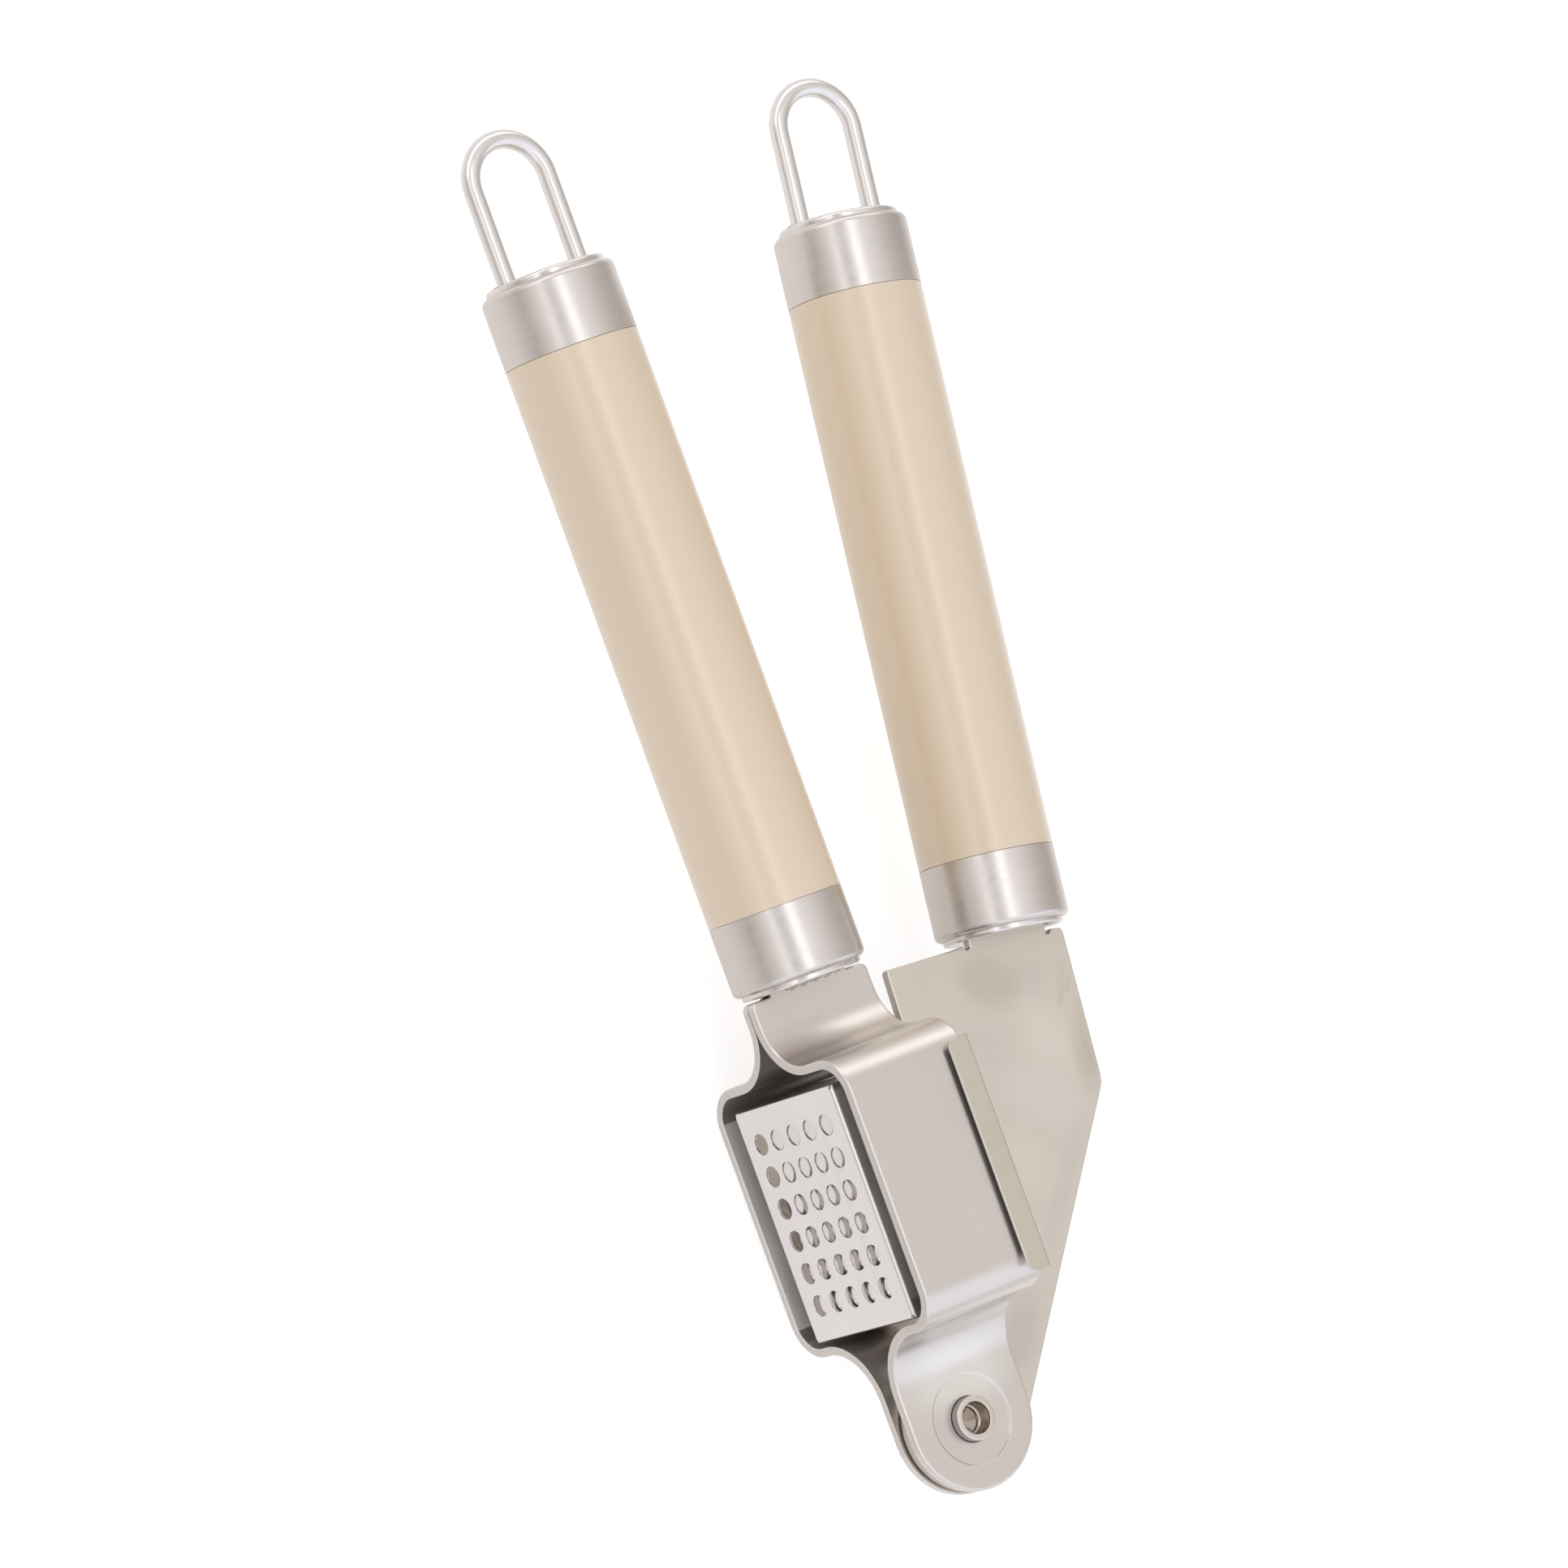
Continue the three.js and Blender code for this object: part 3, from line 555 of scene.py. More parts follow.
# painted highlight: a lighter copy of the rivet steel so that the drilled cone shows bright
M["rivet_cone_painted_highlight"], _ = steel("rivet_cone_painted_highlight", (0.82, 0.79, 0.76, 1.0), rough=(0.06, 0.10), streak=(2000, 2000, 300), streak_bump=0.15, tone=0.06, grain_bump=0.02)
M["weld"], _ = steel("weld_bead", (0.42, 0.39, 0.36, 1.0), rough=(0.25, 0.45), streak=(2500, 2500, 2500), streak_bump=0.5, tone=0.25, grain_bump=0.3)
M["sleeve_low"] = sleeve_material("sleeve_satin_low", 0.0)
M["sleeve_up"] = sleeve_material("sleeve_satin_up", REST)

# ------------------------------------------------------------------ handles
HANDLE_R, TUBE_BORE_R, CORE_R, CORE_BORE_R = 9.5, 8.2, 7.9, 7.0
SLEEVE_LEN, HEAD_LEN, END_LEN, SEAM = 80.55, 10.15, 10.6, 0.05
CORNER, DISC_R, DISC_T = 1.8, 8.5, 0.75
WIRE_R, LEG, REACH = 1.35, 6.2, 21.2
SEG = 144


def ferrule(x0, d, length, corner=1.8):
    e = x0 + d * length
    inner = HANDLE_R - corner if corner > 1.3 else TUBE_BORE_R
    return round_profile([(TUBE_BORE_R, x0, 0), (HANDLE_R, x0, 0.05), (HANDLE_R, e, corner * 0.999), (min(inner, TUBE_BORE_R) - 0.1, e, 0),
                          (min(inner, TUBE_BORE_R) - 0.1, e - d * 0.5, 0), (TUBE_BORE_R, e - d * 0.9, 0)], 7.5)


def handle(prefix, place, body, sleeve_mat, ring_mat, slot_half, slot_half_t):
    head, end = HEAD_LEN, -SLEEVE_LEN - END_LEN
    V, F = lathe(round_profile([(TUBE_BORE_R, -SLEEVE_LEN + SEAM / 2, 0), (HANDLE_R - 0.02, -SLEEVE_LEN + SEAM / 2, 0.05), (HANDLE_R - 0.02, -SEAM / 2, 0.05), (TUBE_BORE_R, -SEAM / 2, 0)]), SEG)
    put(prefix + "_sleeve", place(V), F, sleeve_mat, body, [prefix + "_handle_sleeve"])
    V, F = lathe([(CORE_BORE_R, end + 2.4), (CORE_R, end + 2.4), (CORE_R, head - 1.2), (CORE_BORE_R, head - 1.2)], 48)
    put(prefix + "_core", place(V), F, M["disc"], body, [prefix + "_handle_core"])
    V, F = lathe(ferrule(SEAM / 2, 1, HEAD_LEN - SEAM / 2), SEG)
    put(prefix + "_ferrule_head", place(V), F, ring_mat, body, [prefix + "_head_ferrule"])
    V, F = lathe(ferrule(-SLEEVE_LEN - SEAM / 2, -1, END_LEN - 0.35 - SEAM / 2, 2.1), SEG)
    put(prefix + "_ferrule_end", place(V), F, ring_mat, body, [prefix + "_end_ferrule"])

    # closing disc at the head: a round blank with the tang slot, standing on the ferrule
    ring = np.array([(DISC_R * math.cos(2 * math.pi * i / 96), DISC_R * math.sin(2 * math.pi * i / 96)) for i in range(96)])
    slot = fillet([(-slot_half, -slot_half_t, slot_half_t * 0.9), (slot_half, -slot_half_t, slot_half_t * 0.9), (slot_half, slot_half_t, slot_half_t * 0.9), (-slot_half, slot_half_t, slot_half_t * 0.9)], 15)
    V, F = blank(ring, [slot], DISC_T, 0.3, 4, re_bottom=0.02)
    W = np.stack([head + DISC_T / 2 + V[:, 2], V[:, 0], V[:, 1]], 1)
    put(prefix + "_disc_head", place(W), F, M["disc"], body, [prefix + "_head_disc"])
    # closing disc at the far end, drilled for the wire, its edge rolled over
    holes = [[(s * LEG + (WIRE_R + 0.12) * math.cos(2 * math.pi * i / 32), (WIRE_R + 0.12) * math.sin(2 * math.pi * i / 32)) for i in range(32)] for s in (1, -1)]
    V, F = blank(ring, holes, 0.9, 0.55, 6, re_bottom=0.02)
    W = np.stack([end + 0.35 - 0.45 - V[:, 2], V[:, 0], V[:, 1]], 1)
    put(prefix + "_disc_end", place(W), F, M["disc"], body, [prefix + "_end_disc"])

    # hanging loop: wire swept along leg, bend, leg
    bx, leg = end - REACH + WIRE_R + LEG, end + 1.8
    P, N = [], []
    for i in range(10):
        P.append((leg + (bx - leg) * i / 10, LEG))
        N.append((0, 1))
    for i in range(49):
        a = math.radians(90 + 180 * i / 48)
        P.append((bx + LEG * math.cos(a), LEG * math.sin(a)))
        N.append((math.cos(a), math.sin(a)))
    for i in range(1, 11):
        P.append((bx + (leg - bx) * i / 10, -LEG))
        N.append((0, -1))
    ns = 32
    V, F = [], []
    for (x, y), (nx, ny) in zip(P, N):
        for k in range(ns):
            a = 2 * math.pi * k / ns
            V.append((x + WIRE_R * math.cos(a) * nx, y + WIRE_R * math.cos(a) * ny, WIRE_R * math.sin(a)))
    for i in range(len(P) - 1):
        for k in range(ns):
            j = (k + 1) % ns
            F.append((i * ns + k, i * ns + j, (i + 1) * ns + j, (i + 1) * ns + k))
    F.append(tuple(range(ns)))
    F.append(tuple(range((len(P) - 1) * ns, len(P) * ns))[::-1])
    put(prefix + "_loop", place(V), F, M["wire"], body, [prefix + "_hanging_loop"], sharp=50)

    # weld fillets where the wire legs stand on the disc
    rng = random.Random(11 if prefix == "lower" else 29)
    B = Build()
    for s in (1, -1):
        ph = [rng.uniform(0, 6.28) for _ in range(4)]
        n1, n2 = 48, 10
        rows = []
        for i in range(n1):
            a = 2 * math.pi * i / n1
            k = 1 + 0.35 * math.sin(2 * a + ph[0]) + 0.25 * math.sin(3 * a + ph[1]) + 0.12 * math.sin(7 * a + ph[2])
            w = 0.10 * max(0.25, k)
            row = []
            for j in range(n2):
                b = 2 * math.pi * j / n2
                rr = WIRE_R + 0.02 + w * math.cos(b)
                row.append((end - 0.55 - w * 0.9 * math.sin(b), s * LEG + rr * math.cos(a), rr * math.sin(a)))
            rows.append(row)
        V = [p for row in rows for p in row]
        F = [(i * n2 + j, ((i + 1) % n1) * n2 + j, ((i + 1) % n1) * n2 + (j + 1) % n2, i * n2 + (j + 1) % n2) for i in range(n1) for j in range(n2)]
        B.add(V, F)
    V, F = B.arrays()
    put(prefix + "_loop_welds", place(V), F, M["disc"], body)


handle("lower", low, "lower_arm", M["sleeve_low"], M["ferrule_low"], 6.8, 1.65)
handle("upper", upp, "press_arm", M["sleeve_up"], M["ferrule_up"], 6.9, 1.0)

# ------------------------------------------------------------------ side plates
T = 1.3
strip = Path((-45.0, 0.75), 0.0, [
    ("L", 18.1), ("A", 7.35, 90), ("L", 3.3), ("A", 4.65, -90), ("L", 28.25),
    ("A", 4.65, -90), ("L", 1.05), ("A", 8.55, 90), ("L", 6.35 + 9.8)])
s_ear = strip.length - 9.8
W_ = 10.05
outline = fillet([(0, -6.5, 0.6), (14.75, -6.5, 0.35), (14.75, -W_, 1.1), (s_ear - 0.2, -W_, 0)]
                 + [(s_ear + 9.8 * math.sin(a), -W_ * math.cos(a), 0) for a in [math.pi * (i + 0.0) / 60 for i in range(61)]]
                 + [(s_ear - 0.2, W_, 0), (14.75, W_, 1.1), (14.75, 6.5, 0.35), (0, 6.5, 0.6)])
h = T / 2
coin = [(6.42, h), (6.36, h - 0.02), (6.28, h - 0.10), (6.22, h - 0.20), (6.14, h - 0.25), (3.35, h - 0.25), (3.18, h - 0.32), (3.12, h - 0.5),
        (3.12, -h), (3.2, -h - 0.2), (3.35, -h - 0.25), (6.0, -h - 0.25), (6.15, -h - 0.2), (6.3, -h)]
V, F = blank(outline, [], T, 0.40, 5, stepped=[(s_ear, 0.0, coin, 96)], re_bottom=0.15, flat=0.12)
V, F = cut_lines(V, F, [(0, s, None) for s in strip.bends(6.0)])
for name, sign in (("front", 1.0), ("rear", -1.0)):
    W = []
    for s, y, t in V:
        x, z = strip.at(s, t)
        W.append((x, y, sign * z))
    ob = put(name + "_plate", W, F, M["plate"], "lower_arm", [name + "_side_plate"], sharp=40)
    # inner faces of the chamber walls: rougher, with the lighter base that paints light into the gap; then the sheared
    # edges
    cut_edge(ob, M["plate_inside"], lambda c, nn: 15.3 < abs(c.z * 1000 - OFFSET[2]) < 15.5 and nn.z * (c.z * 1000 - OFFSET[2]) < 0)
    cut_edge(ob, M["plate_edge"], lambda c, nn: abs(nn.y) > 0.985 and abs(c.y - OFFSET[1] / 1000.0) > 0.0099)

# seam weld between the plates' shoulders and the closing disc of the lower handle
rng = random.Random(5)
B = Build()
for sgn in (1, -1):
    ph = [rng.uniform(0, 6.28) for _ in range(6)]
    n1, n2 = 60, 12
    V, F = [], []
    for i in range(n1 + 1):
        y = -4.6 + 10.6 * i / n1
        taper = min(1.0, min(i, n1 - i) / 5.0) ** 0.5
        k = taper * (0.34 + 0.07 * math.sin(3.1 * y + ph[0]) + 0.05 * math.sin(7.3 * y + ph[1]))
        k = max(k, 0.02)
        for j in range(n2):
            b = 2 * math.pi * j / n2
            V.append((-30.40 + k * math.cos(b), y, sgn * (1.22 + 0.8 * k * math.sin(b) * (1 if math.sin(b) > 0 else 1))))
    for i in range(n1):
        for j in range(n2):
            F.append((i * n2 + j, (i + 1) * n2 + j, (i + 1) * n2 + (j + 1) % n2, i * n2 + (j + 1) % n2))
    F.append(tuple(range(n2)))
    F.append(tuple(range(n1 * n2, n1 * n2 + n2))[::-1])
    B.add(V, F)
V, F = B.arrays()
put("neck_weld", V, F, M["weld"], "lower_arm")

# ------------------------------------------------------------------ pivot rivet
eo = 1.15 + 1.3 - 0.25
rivet = round_profile([
    (0, -eo - 1.45, 0), (1.6, -eo - 1.38, 1.5), (3.3, -eo - 0.95, 2.0), (4.25, -eo - 0.3, 0.3), (4.25, -eo - 0.03, 0.05),
    (2.9, -eo - 0.03, 0), (2.9, eo - 0.4, 0), (2.9, eo + 0.02, 0), (3.12, eo + 0.02, 0.04), (3.08, eo + 1.30, 0.10), (2.28, eo + 1.33, 0.08),
    (2.2, eo + 1.0, 0.1), (2.16, 1.25, 0.06), (1.86, 1.12, 0.08), (1.84, 0.55, 0.05), (0.05, -0.96, 0), (0, -1.0, 0)], 12)
V, F = lathe(rivet, 96, closed=False)
V = np.stack([V[:, 1] + PIVOT[0], V[:, 2] + PIVOT[1], V[:, 0]], 1)
ob = put("rivet", V, F, M["rivet"], "lower_arm", ["pivot_rivet"], sharp=35)
rr = lambda c: 1000.0 * math.hypot(c.x - (OFFSET[0] + PIVOT[0]) / 1000.0, c.y - (OFFSET[1] + PIVOT[1]) / 1000.0)
hh = lambda c: c.z * 1000.0 - OFFSET[2]
# painted shade on the rim's side wall
cut_edge(ob, M["rivet_wall"], lambda c, nn: abs(nn.z) < 0.3 and rr(c) > 2.95 and hh(c) > 0)
# painted shade in the bore
cut_edge(ob, M["rivet_bore_painted_shade"], lambda c, nn: rr(c) < 2.3 and 0.5 < hh(c) < eo + 1.25)
# painted highlight on the drilled cone
cut_edge(ob, M["rivet_cone_painted_highlight"], lambda c, nn: rr(c) < 1.86 and -1.05 < hh(c) <= 0.56)

# ------------------------------------------------------------------ strainer basket
BT, X0 = 0.4, 16.1
sect = Path((0.0, -9.7), 0.0, [("L", 11.7), ("A", 0.4, 90), ("L", 19.25), ("A", 0.5, -90), ("L", 4.5), ("A", 0.5, -90), ("L", 3.15)])
UEND = sect.length
flap = {1: Path((X0, -9.7), 0.0, [("A", 0.4, 90), ("L", 9.9)]), -1: Path((X0, -9.7), 0.0, [("A", 0.4, 90), ("L", 13.9)])}


def basket_outline():
    pts = []
    for sx in (1, -1):
        for su in ((-1, 1) if sx > 0 else (1, -1)):
            L = flap[sx].length
            quarter = [(sx * (X0 + L), su * 11.7, 0.5), (sx * (X0 + 0.15), su * 11.7, 0.04), (sx * (X0 - 0.05), su * 11.9, 0.06), (sx * (X0 + 0.15), su * 12.1, 0.04),
                       (sx * 16.55, su * 12.15, 0.05), (sx * 16.7, su * 12.35, 0.1), (sx * 16.7, su * UEND, 1.5)]
            pts += quarter[::-1] if (sx > 0) == (su < 0) else quarter
    return fillet(pts, 12)


holes = []
for i in range(6):
    for j in range(5):
        cx, cu = (i - 2.5) * 4.66, (j - 2) * 4.12
        holes.append([(cx + 1.5 * math.cos(2 * math.pi * k / 40), cu + 1.5 * math.sin(2 * math.pi * k / 40)) for k in range(40)])
V, F = blank(basket_outline(), holes, BT, 0.07, 2)
cuts = []
for s in sect.bends(11.25):
    cuts += [(1, s, lambda c: True), (1, -s, lambda c: True)]
for sx in (1, -1):
    cuts += [(0, sx * (X0 + s), lambda c: abs(c.y) < 11.8) for s in flap[sx].bends(11.25)]
V, F = cut_lines(V, F, cuts)
W = []
for x, u, t in V:
    sx = 1 if x > 0 else -1
    if abs(x) > X0 and abs(u) < 11.8:
        a, y = flap[sx].at(abs(x) - X0, t)
        W.append((sx * a, y, u))
    else:
        z, y = sect.at(abs(u), t)
        W.append((x, y, z if u > 0 else -z))
ob = put("basket", W, F, M["strainer"], "lower_arm", ["strainer_basket"], sharp=40)
# painted shade: the lip's flat faces take the darker copy of the strainer steel
cut_edge(ob, M["basket_lip"], lambda c, nn: abs(nn.z) > 0.9 and abs(c.z * 1000 - OFFSET[2]) > 17.5)

# ------------------------------------------------------------------ press lever
LT = 1.5


def up2(u, v, r=0.0):
    return (UP0[0] + u * C8 + v * S8, UP0[1] - u * S8 + v * C8, r)


fu = HEAD_LEN + DISC_T
pts = [(-28.0, 13.2, 0.6), (-21.0, 12.75, 1.0), (-12.5, 12.2, 3.0), (-6.2, 4.0, 2.0)]
pts += arc2(PIN[0], PIN[1], 2.9, 165, 375, 36)
pts += [(6.0, 1.6, 1.0), (11.5, 4.2, 2.0), (19.0, 4.2, 2.0), (22.2, 3.0, 0.8)]
pts += arc2(PIVOT[0], PIVOT[1], 9.55, 170, 411, 60)
pts += [(-1.9, 40.3, 0.6), (-2.9, 41.0, 0.7), (-4.3, 41.35, 0.6), (-25.1, 43.72, 0.9)]
pts += [up2(fu + 0.35, 7.5, 0.25), up2(fu + 1.0, 7.0, 0.3), up2(fu + 0.9, 6.6, 0.1), up2(-4, 6.6, 0.6), up2(-4, -6.6, 0.6),
        up2(fu + 0.9, -6.6, 0.1), up2(fu + 1.2, -7.1, 0.3), up2(fu + 0.6, -7.7, 0.25), (-27.35, 24.6, 0.9)]
lever_outline = fillet(pts, 9)
hl = LT / 2
bores = [(PIVOT[0], PIVOT[1], [(3.25, hl), (3.15, hl - 0.1), (3.15, -hl + 0.1), (3.25, -hl)], 64),
         (PIN[0], PIN[1], [(1.85, hl), (1.75, hl - 0.1), (1.75, -hl + 0.1), (1.85, -hl)], 40)]
V, F = blank(lever_outline, [], LT, 0.26, 4, stepped=bores, flat=0.10)
ob = put("lever", V, F, M["lever"], "press_arm", ["press_lever"], sharp=40)
cut_edge(ob, M["lever_edge"], lambda c, nn: abs(nn.z) < 0.15)

# ------------------------------------------------------------------ plunger
PT = math.radians(-2.3)
FOOT = -5.85


def plg(P):
    P = np.asarray(P, float)
    Q = P.copy()
    Q[:, 0] = PIN[0] + P[:, 0] * math.cos(PT) - P[:, 1] * math.sin(PT)
    Q[:, 1] = PIN[1] + P[:, 0] * math.sin(PT) + P[:, 1] * math.cos(PT)
    return Q


foot = fillet([(-14.7, -9.3, 2.0), (13.9, -9.3, 2.0), (13.9, 9.3, 2.0), (-14.7, 9.3, 2.0)], 9)
V, F = blank(foot, [], 1.2, 0.25, 4)
V = np.stack([V[:, 0], FOOT + 0.6 + V[:, 2], V[:, 1]], 1)
put("plunger_foot", plg(V), F, M["strainer"], "plunger", ["plunger_plate"], sharp=40)
# clevis: one blank bent up into two lugs
seat, lug_in, bt = FOOT + 1.2 + 0.15, 1.1, 0.85
half = Path((5.5, seat + bt / 2), 180.0, [("L", 5.5 - lug_in - bt / 2 - 0.5), ("A", 0.5 + 0.0, -90), ("L", 6.2)])
B = Build()
for s in (1, -1):
    # outline along the blank: base tab, then the lug with its round end
    Lb = half.length
    o = fillet([(0, -5.0, 0.8), (3.6, -5.0, 0.6), (3.6, -4.2, 0.3), (Lb - 2.7, -2.7, 0.5)] + [(Lb - 2.7 + 2.7 * math.sin(a), -2.7 * math.cos(a), 0) for a in [math.pi * i / 24 for i in range(25)]]
               + [(Lb - 2.7, 2.7, 0.5), (3.6, 4.2, 0.3), (3.6, 5.0, 0.6), (0, 5.0, 0.8)], 12)
    cy = 0.0 - (seat + bt / 2 + 0.5)
    # pin hole placed at the pin's height on the standing lug
    s_pin = half.items[2][0] + cy
    Vb, Fb = blank(o, [], bt, 0.12, 2, stepped=[(s_pin, 0.0, [(1.72, bt / 2), (1.62, bt / 2 - 0.08), (1.62, -bt / 2 + 0.08), (1.72, -bt / 2)], 32)])
    Vb, Fb = cut_lines(Vb, Fb, [(0, q, None) for q in half.bends(15)])
    Wb = []
    for a, b, t in Vb:
        z, y = half.at(a, t)
        Wb.append((b, y, s * z))
    B.add(Wb, Fb)
V, F = B.arrays()
put("plunger_clevis", plg(V), F, M["strainer"], "plunger", ["plunger_bracket"], sharp=40)
pin = round_profile([(0, -2.9, 0), (2.1, -2.9, 0.4), (2.3, -2.15, 0.1), (1.5, -2.12, 0), (1.5, 2.12, 0), (2.3, 2.15, 0.1), (2.1, 2.9, 0.4), (0, 2.9, 0)], 15)
V, F = lathe(pin, 48, closed=False)
V = np.stack([V[:, 1], V[:, 2], V[:, 0]], 1)
put("plunger_pivot_pin", plg(V), F, M["rivet"], "plunger", ["plunger_pin"], sharp=35)

# ------------------------------------------------------------------ studio
fl = bpy.data.meshes.new("floor")
S = 6.0
fl.from_pydata([(-S, -S, -0.0002), (S, -S, -0.0002), (S, S, -0.0002), (-S, S, -0.0002)], [], [(0, 1, 2, 3)])
floor = bpy.data.objects.new("floor", fl)
bpy.context.scene.collection.objects.link(floor)
n = Nodes("floor_white")
spread = n.noise(n.mapping((1, 1, 1)), 3.0, 1.0, 0.5)
colr = n.ramp(spread, [(0.0, (0.60, 0.60, 0.60, 1)), (1.0, (0.62, 0.62, 0.62, 1))])
n.set(Base_Color=colr, Roughness=0.9, Emission_Color=(1, 1, 1, 1), Emission_Strength=0.62, Specular_IOR_Level=0.2)
# painted reflection: rays other than camera rays see the floor as a glow painted by position, brightest in a band along
# the part and falling off towards ±Y and past its ends; this is what the steel mirrors
xyz = n.new("ShaderNodeSeparateXYZ")
n.link(n.coord.outputs["Object"], xyz.inputs[0])
side = n.ramp(n.map_range(xyz.outputs["Y"], -0.20, 0.20, 0.0, 1.0, smooth=False), [
    (0.0, (0.02, 0.015, 0.01, 1)), (0.20, (0.08, 0.07, 0.055, 1)), (0.31, (0.20, 0.182, 0.165, 1)), (0.40, (0.40, 0.385, 0.37, 1)), (0.60, (0.42, 0.41, 0.40, 1)),
    (0.72, (0.30, 0.28, 0.265, 1)), (0.85, (0.12, 0.105, 0.09, 1)), (1.0, (0.04, 0.03, 0.02, 1))])
ends = n.map_range(n.math("ABSOLUTE", xyz.outputs["X"]), 0.13, 0.35, 1.0, 0.25)
glow = n.mix(1.0, side, ends, "MULTIPLY")
second = n.new("ShaderNodeBsdfPrincipled")
second.inputs["Roughness"].default_value = 0.9
second.inputs["Specular IOR Level"].default_value = 0.2
second.inputs["Base Color"].default_value = (0.60, 0.59, 0.58, 1)
second.inputs["Emission Strength"].default_value = 1.0
n.link(glow, second.inputs["Emission Color"])
lp = n.new("ShaderNodeLightPath")
ms = n.new("ShaderNodeMixShader")
n.link(lp.outputs["Is Camera Ray"], ms.inputs[0])
n.link(second.outputs[0], ms.inputs[1])
n.link(n.bsdf.outputs[0], ms.inputs[2])
n.link(ms.outputs[0], next(q for q in n.t.nodes if q.type == "OUTPUT_MATERIAL").inputs["Surface"])
fl.materials.append(n.mat)

# the studio: a pale tent with two soft boxes on either side of the camera
world = bpy.data.worlds.new("studio")
bpy.context.scene.world = world
world.use_nodes = True
wt = world.node_tree
wt.nodes.clear()
out = wt.nodes.new("ShaderNodeOutputWorld")
bg = wt.nodes.new("ShaderNodeBackground")
tc = wt.nodes.new("ShaderNodeTexCoord")
sep = wt.nodes.new("ShaderNodeSeparateXYZ")
wt.links.new(tc.outputs["Generated"], sep.inputs[0])


def wmath(op, a, b=None, clamp=False):
    m = wt.nodes.new("ShaderNodeMath")
    m.operation, m.use_clamp = op, clamp
    for k, v in enumerate((a, b)):
        if v is None:
            continue
        if hasattr(v, "node"):
            wt.links.new(v, m.inputs[k])
        else:
            m.inputs[k].default_value = v
    return m.outputs[0]


def wramp(fac, stops, scale=1.0):
    r = wt.nodes.new("ShaderNodeValToRGB")
    e = r.color_ramp.elements
    while len(e) < len(stops):
        e.new(0.5)
    for k, (p, c) in enumerate(stops):
        e[k].position = p
        c = c if hasattr(c, "__len__") else (c, c, c)
        e[k].color = (c[0] * scale, c[1] * scale, c[2] * scale, 1)
    wt.links.new(fac, r.inputs["Fac"])
    return r.outputs["Color"]


def wmix(fac, a, b):
    m = wt.nodes.new("ShaderNodeMix")
    m.data_type = "RGBA"
    for k, v in ((0, fac), (6, a), (7, b)):
        if hasattr(v, "node"):
            wt.links.new(v, m.inputs[k])
        else:
            m.inputs[k].default_value = v
    return m.outputs[2]


def wsmooth(v, a, b, c=0.0, d=1.0):
    m = wt.nodes.new("ShaderNodeMapRange")
    m.interpolation_type = "SMOOTHSTEP"
    for k, x in zip(("From Min", "From Max", "To Min", "To Max"), (a, b, c, d)):
        m.inputs[k].default_value = x
    wt.links.new(v, m.inputs["Value"])
    return m.outputs["Result"]


ang = wmath("DIVIDE", wmath("ARCTAN2", sep.outputs["Z"], sep.outputs["Y"]), math.pi)   # 0 at +Y, 1 at -Y over the top
W0 = lambda k: (k, k * 0.955, k * 0.905)
WW = lambda k: (k, k * 0.986, k * 1.0)
WR = lambda k: (k * 0.985, k * 1.015, k * 1.11)
SC = 4.0
deg = [(0, W0(0.55)), (14, W0(0.60)), (30, W0(0.66)), (42, W0(0.76)), (54, W0(0.86)), (66, WW(0.98)), (80, WW(1.08)), (92, WW(1.12)), (97, WW(1.5)),
       (100, WW(2.4)), (106, WW(2.2)), (110, WW(1.1)), (117, WW(0.84)), (124, WW(0.70)), (130, WW(0.85)), (133, WW(1.5)), (138, WW(1.6)), (143, WW(1.05)),
       (152, W0(0.92)), (163, W0(0.80)), (172, W0(0.62)), (180, W0(0.45))]
over = wramp(ang, [(a / 180.0, tuple(v / SC for v in c)) for a, c in deg])
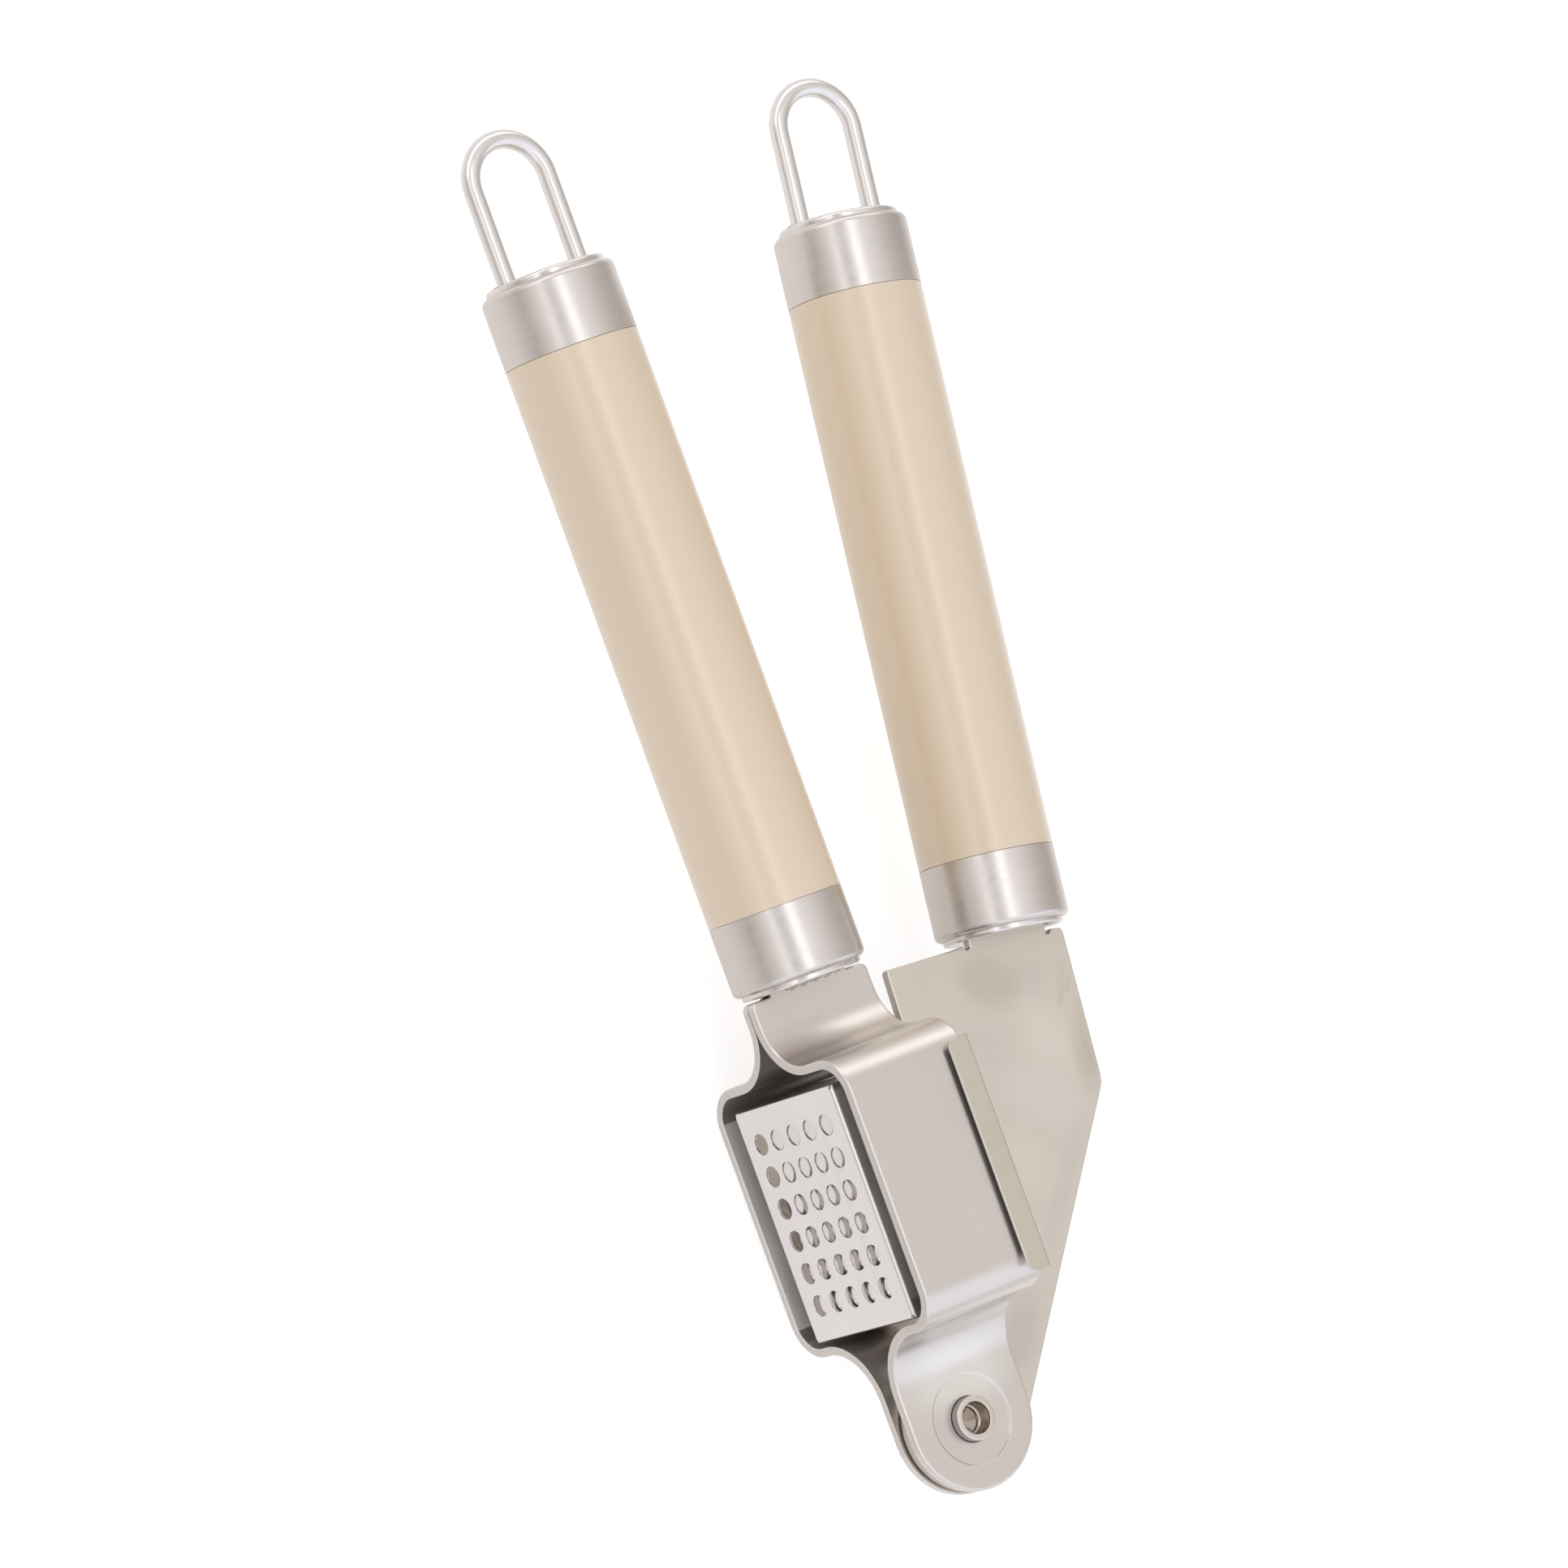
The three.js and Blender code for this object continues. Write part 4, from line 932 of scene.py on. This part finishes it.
# towards the ends of the object
zz = sep.outputs["Z"]
right = wramp(wsmooth(zz, -0.1, 1.0), [(0.0, WR(1.06 / SC)), (0.25, WR(1.14 / SC)), (0.6, WR(1.14 / SC)), (1.0, WR(1.10 / SC))])
left = wramp(zz, [(0.0, W0(0.75 / SC)), (0.08, WW(1.02 / SC)), (0.22, WW(1.30 / SC)), (0.36, WW(1.75 / SC)), (0.50, WW(1.75 / SC)), (0.58, WW(1.0 / SC)), (0.75, W0(0.85 / SC)), (1.0, W0(0.85 / SC))])
col = wmix(wsmooth(sep.outputs["X"], 0.22, 0.48), over, right)
col = wmix(wsmooth(wmath("MULTIPLY", sep.outputs["X"], -1.0), 0.40, 0.66), col, left)
wt.links.new(col, bg.inputs["Color"])
bg.inputs["Strength"].default_value = SC
wt.links.new(bg.outputs[0], out.inputs[0])

# a helper for a rectangular soft box aimed at the origin; nothing calls it, so no soft boxes are added
def area(name, loc, size, power, color=(1, 1, 1)):
    L = bpy.data.lights.new(name, "AREA")
    L.shape = "RECTANGLE"
    L.size, L.size_y = size
    L.energy = power
    L.color = color
    ob = bpy.data.objects.new(name, L)
    bpy.context.scene.collection.objects.link(ob)
    ob.location = loc
    ob.rotation_euler = (Vector((0, 0, 0)) - Vector(loc)).to_track_quat("-Z", "Y").to_euler()
    return ob


# camera
cam = bpy.data.cameras.new("camera")
cam.sensor_width = 36.0
cam.lens = 9551.99 / 1932.0 * 36.0
cam.clip_start, cam.clip_end = 0.01, 50.0
co = bpy.data.objects.new("camera", cam)
bpy.context.scene.collection.objects.link(co)
rt = Vector((0.34294, 0.77642, 0.52874)).normalized()
dn = Vector((0.93931, -0.27776, -0.20136)).normalized()
fw = rt.cross(dn).normalized()
dn = fw.cross(rt).normalized()
m = Matrix(((rt.x, -dn.x, -fw.x, 0.008847), (rt.y, -dn.y, -fw.y, -0.614881), (rt.z, -dn.z, -fw.z, 0.890592), (0, 0, 0, 1)))
co.matrix_world = m
bpy.context.scene.camera = co
bpy.context.scene.view_settings.view_transform = "Standard"
bpy.context.scene.view_settings.look = "None"
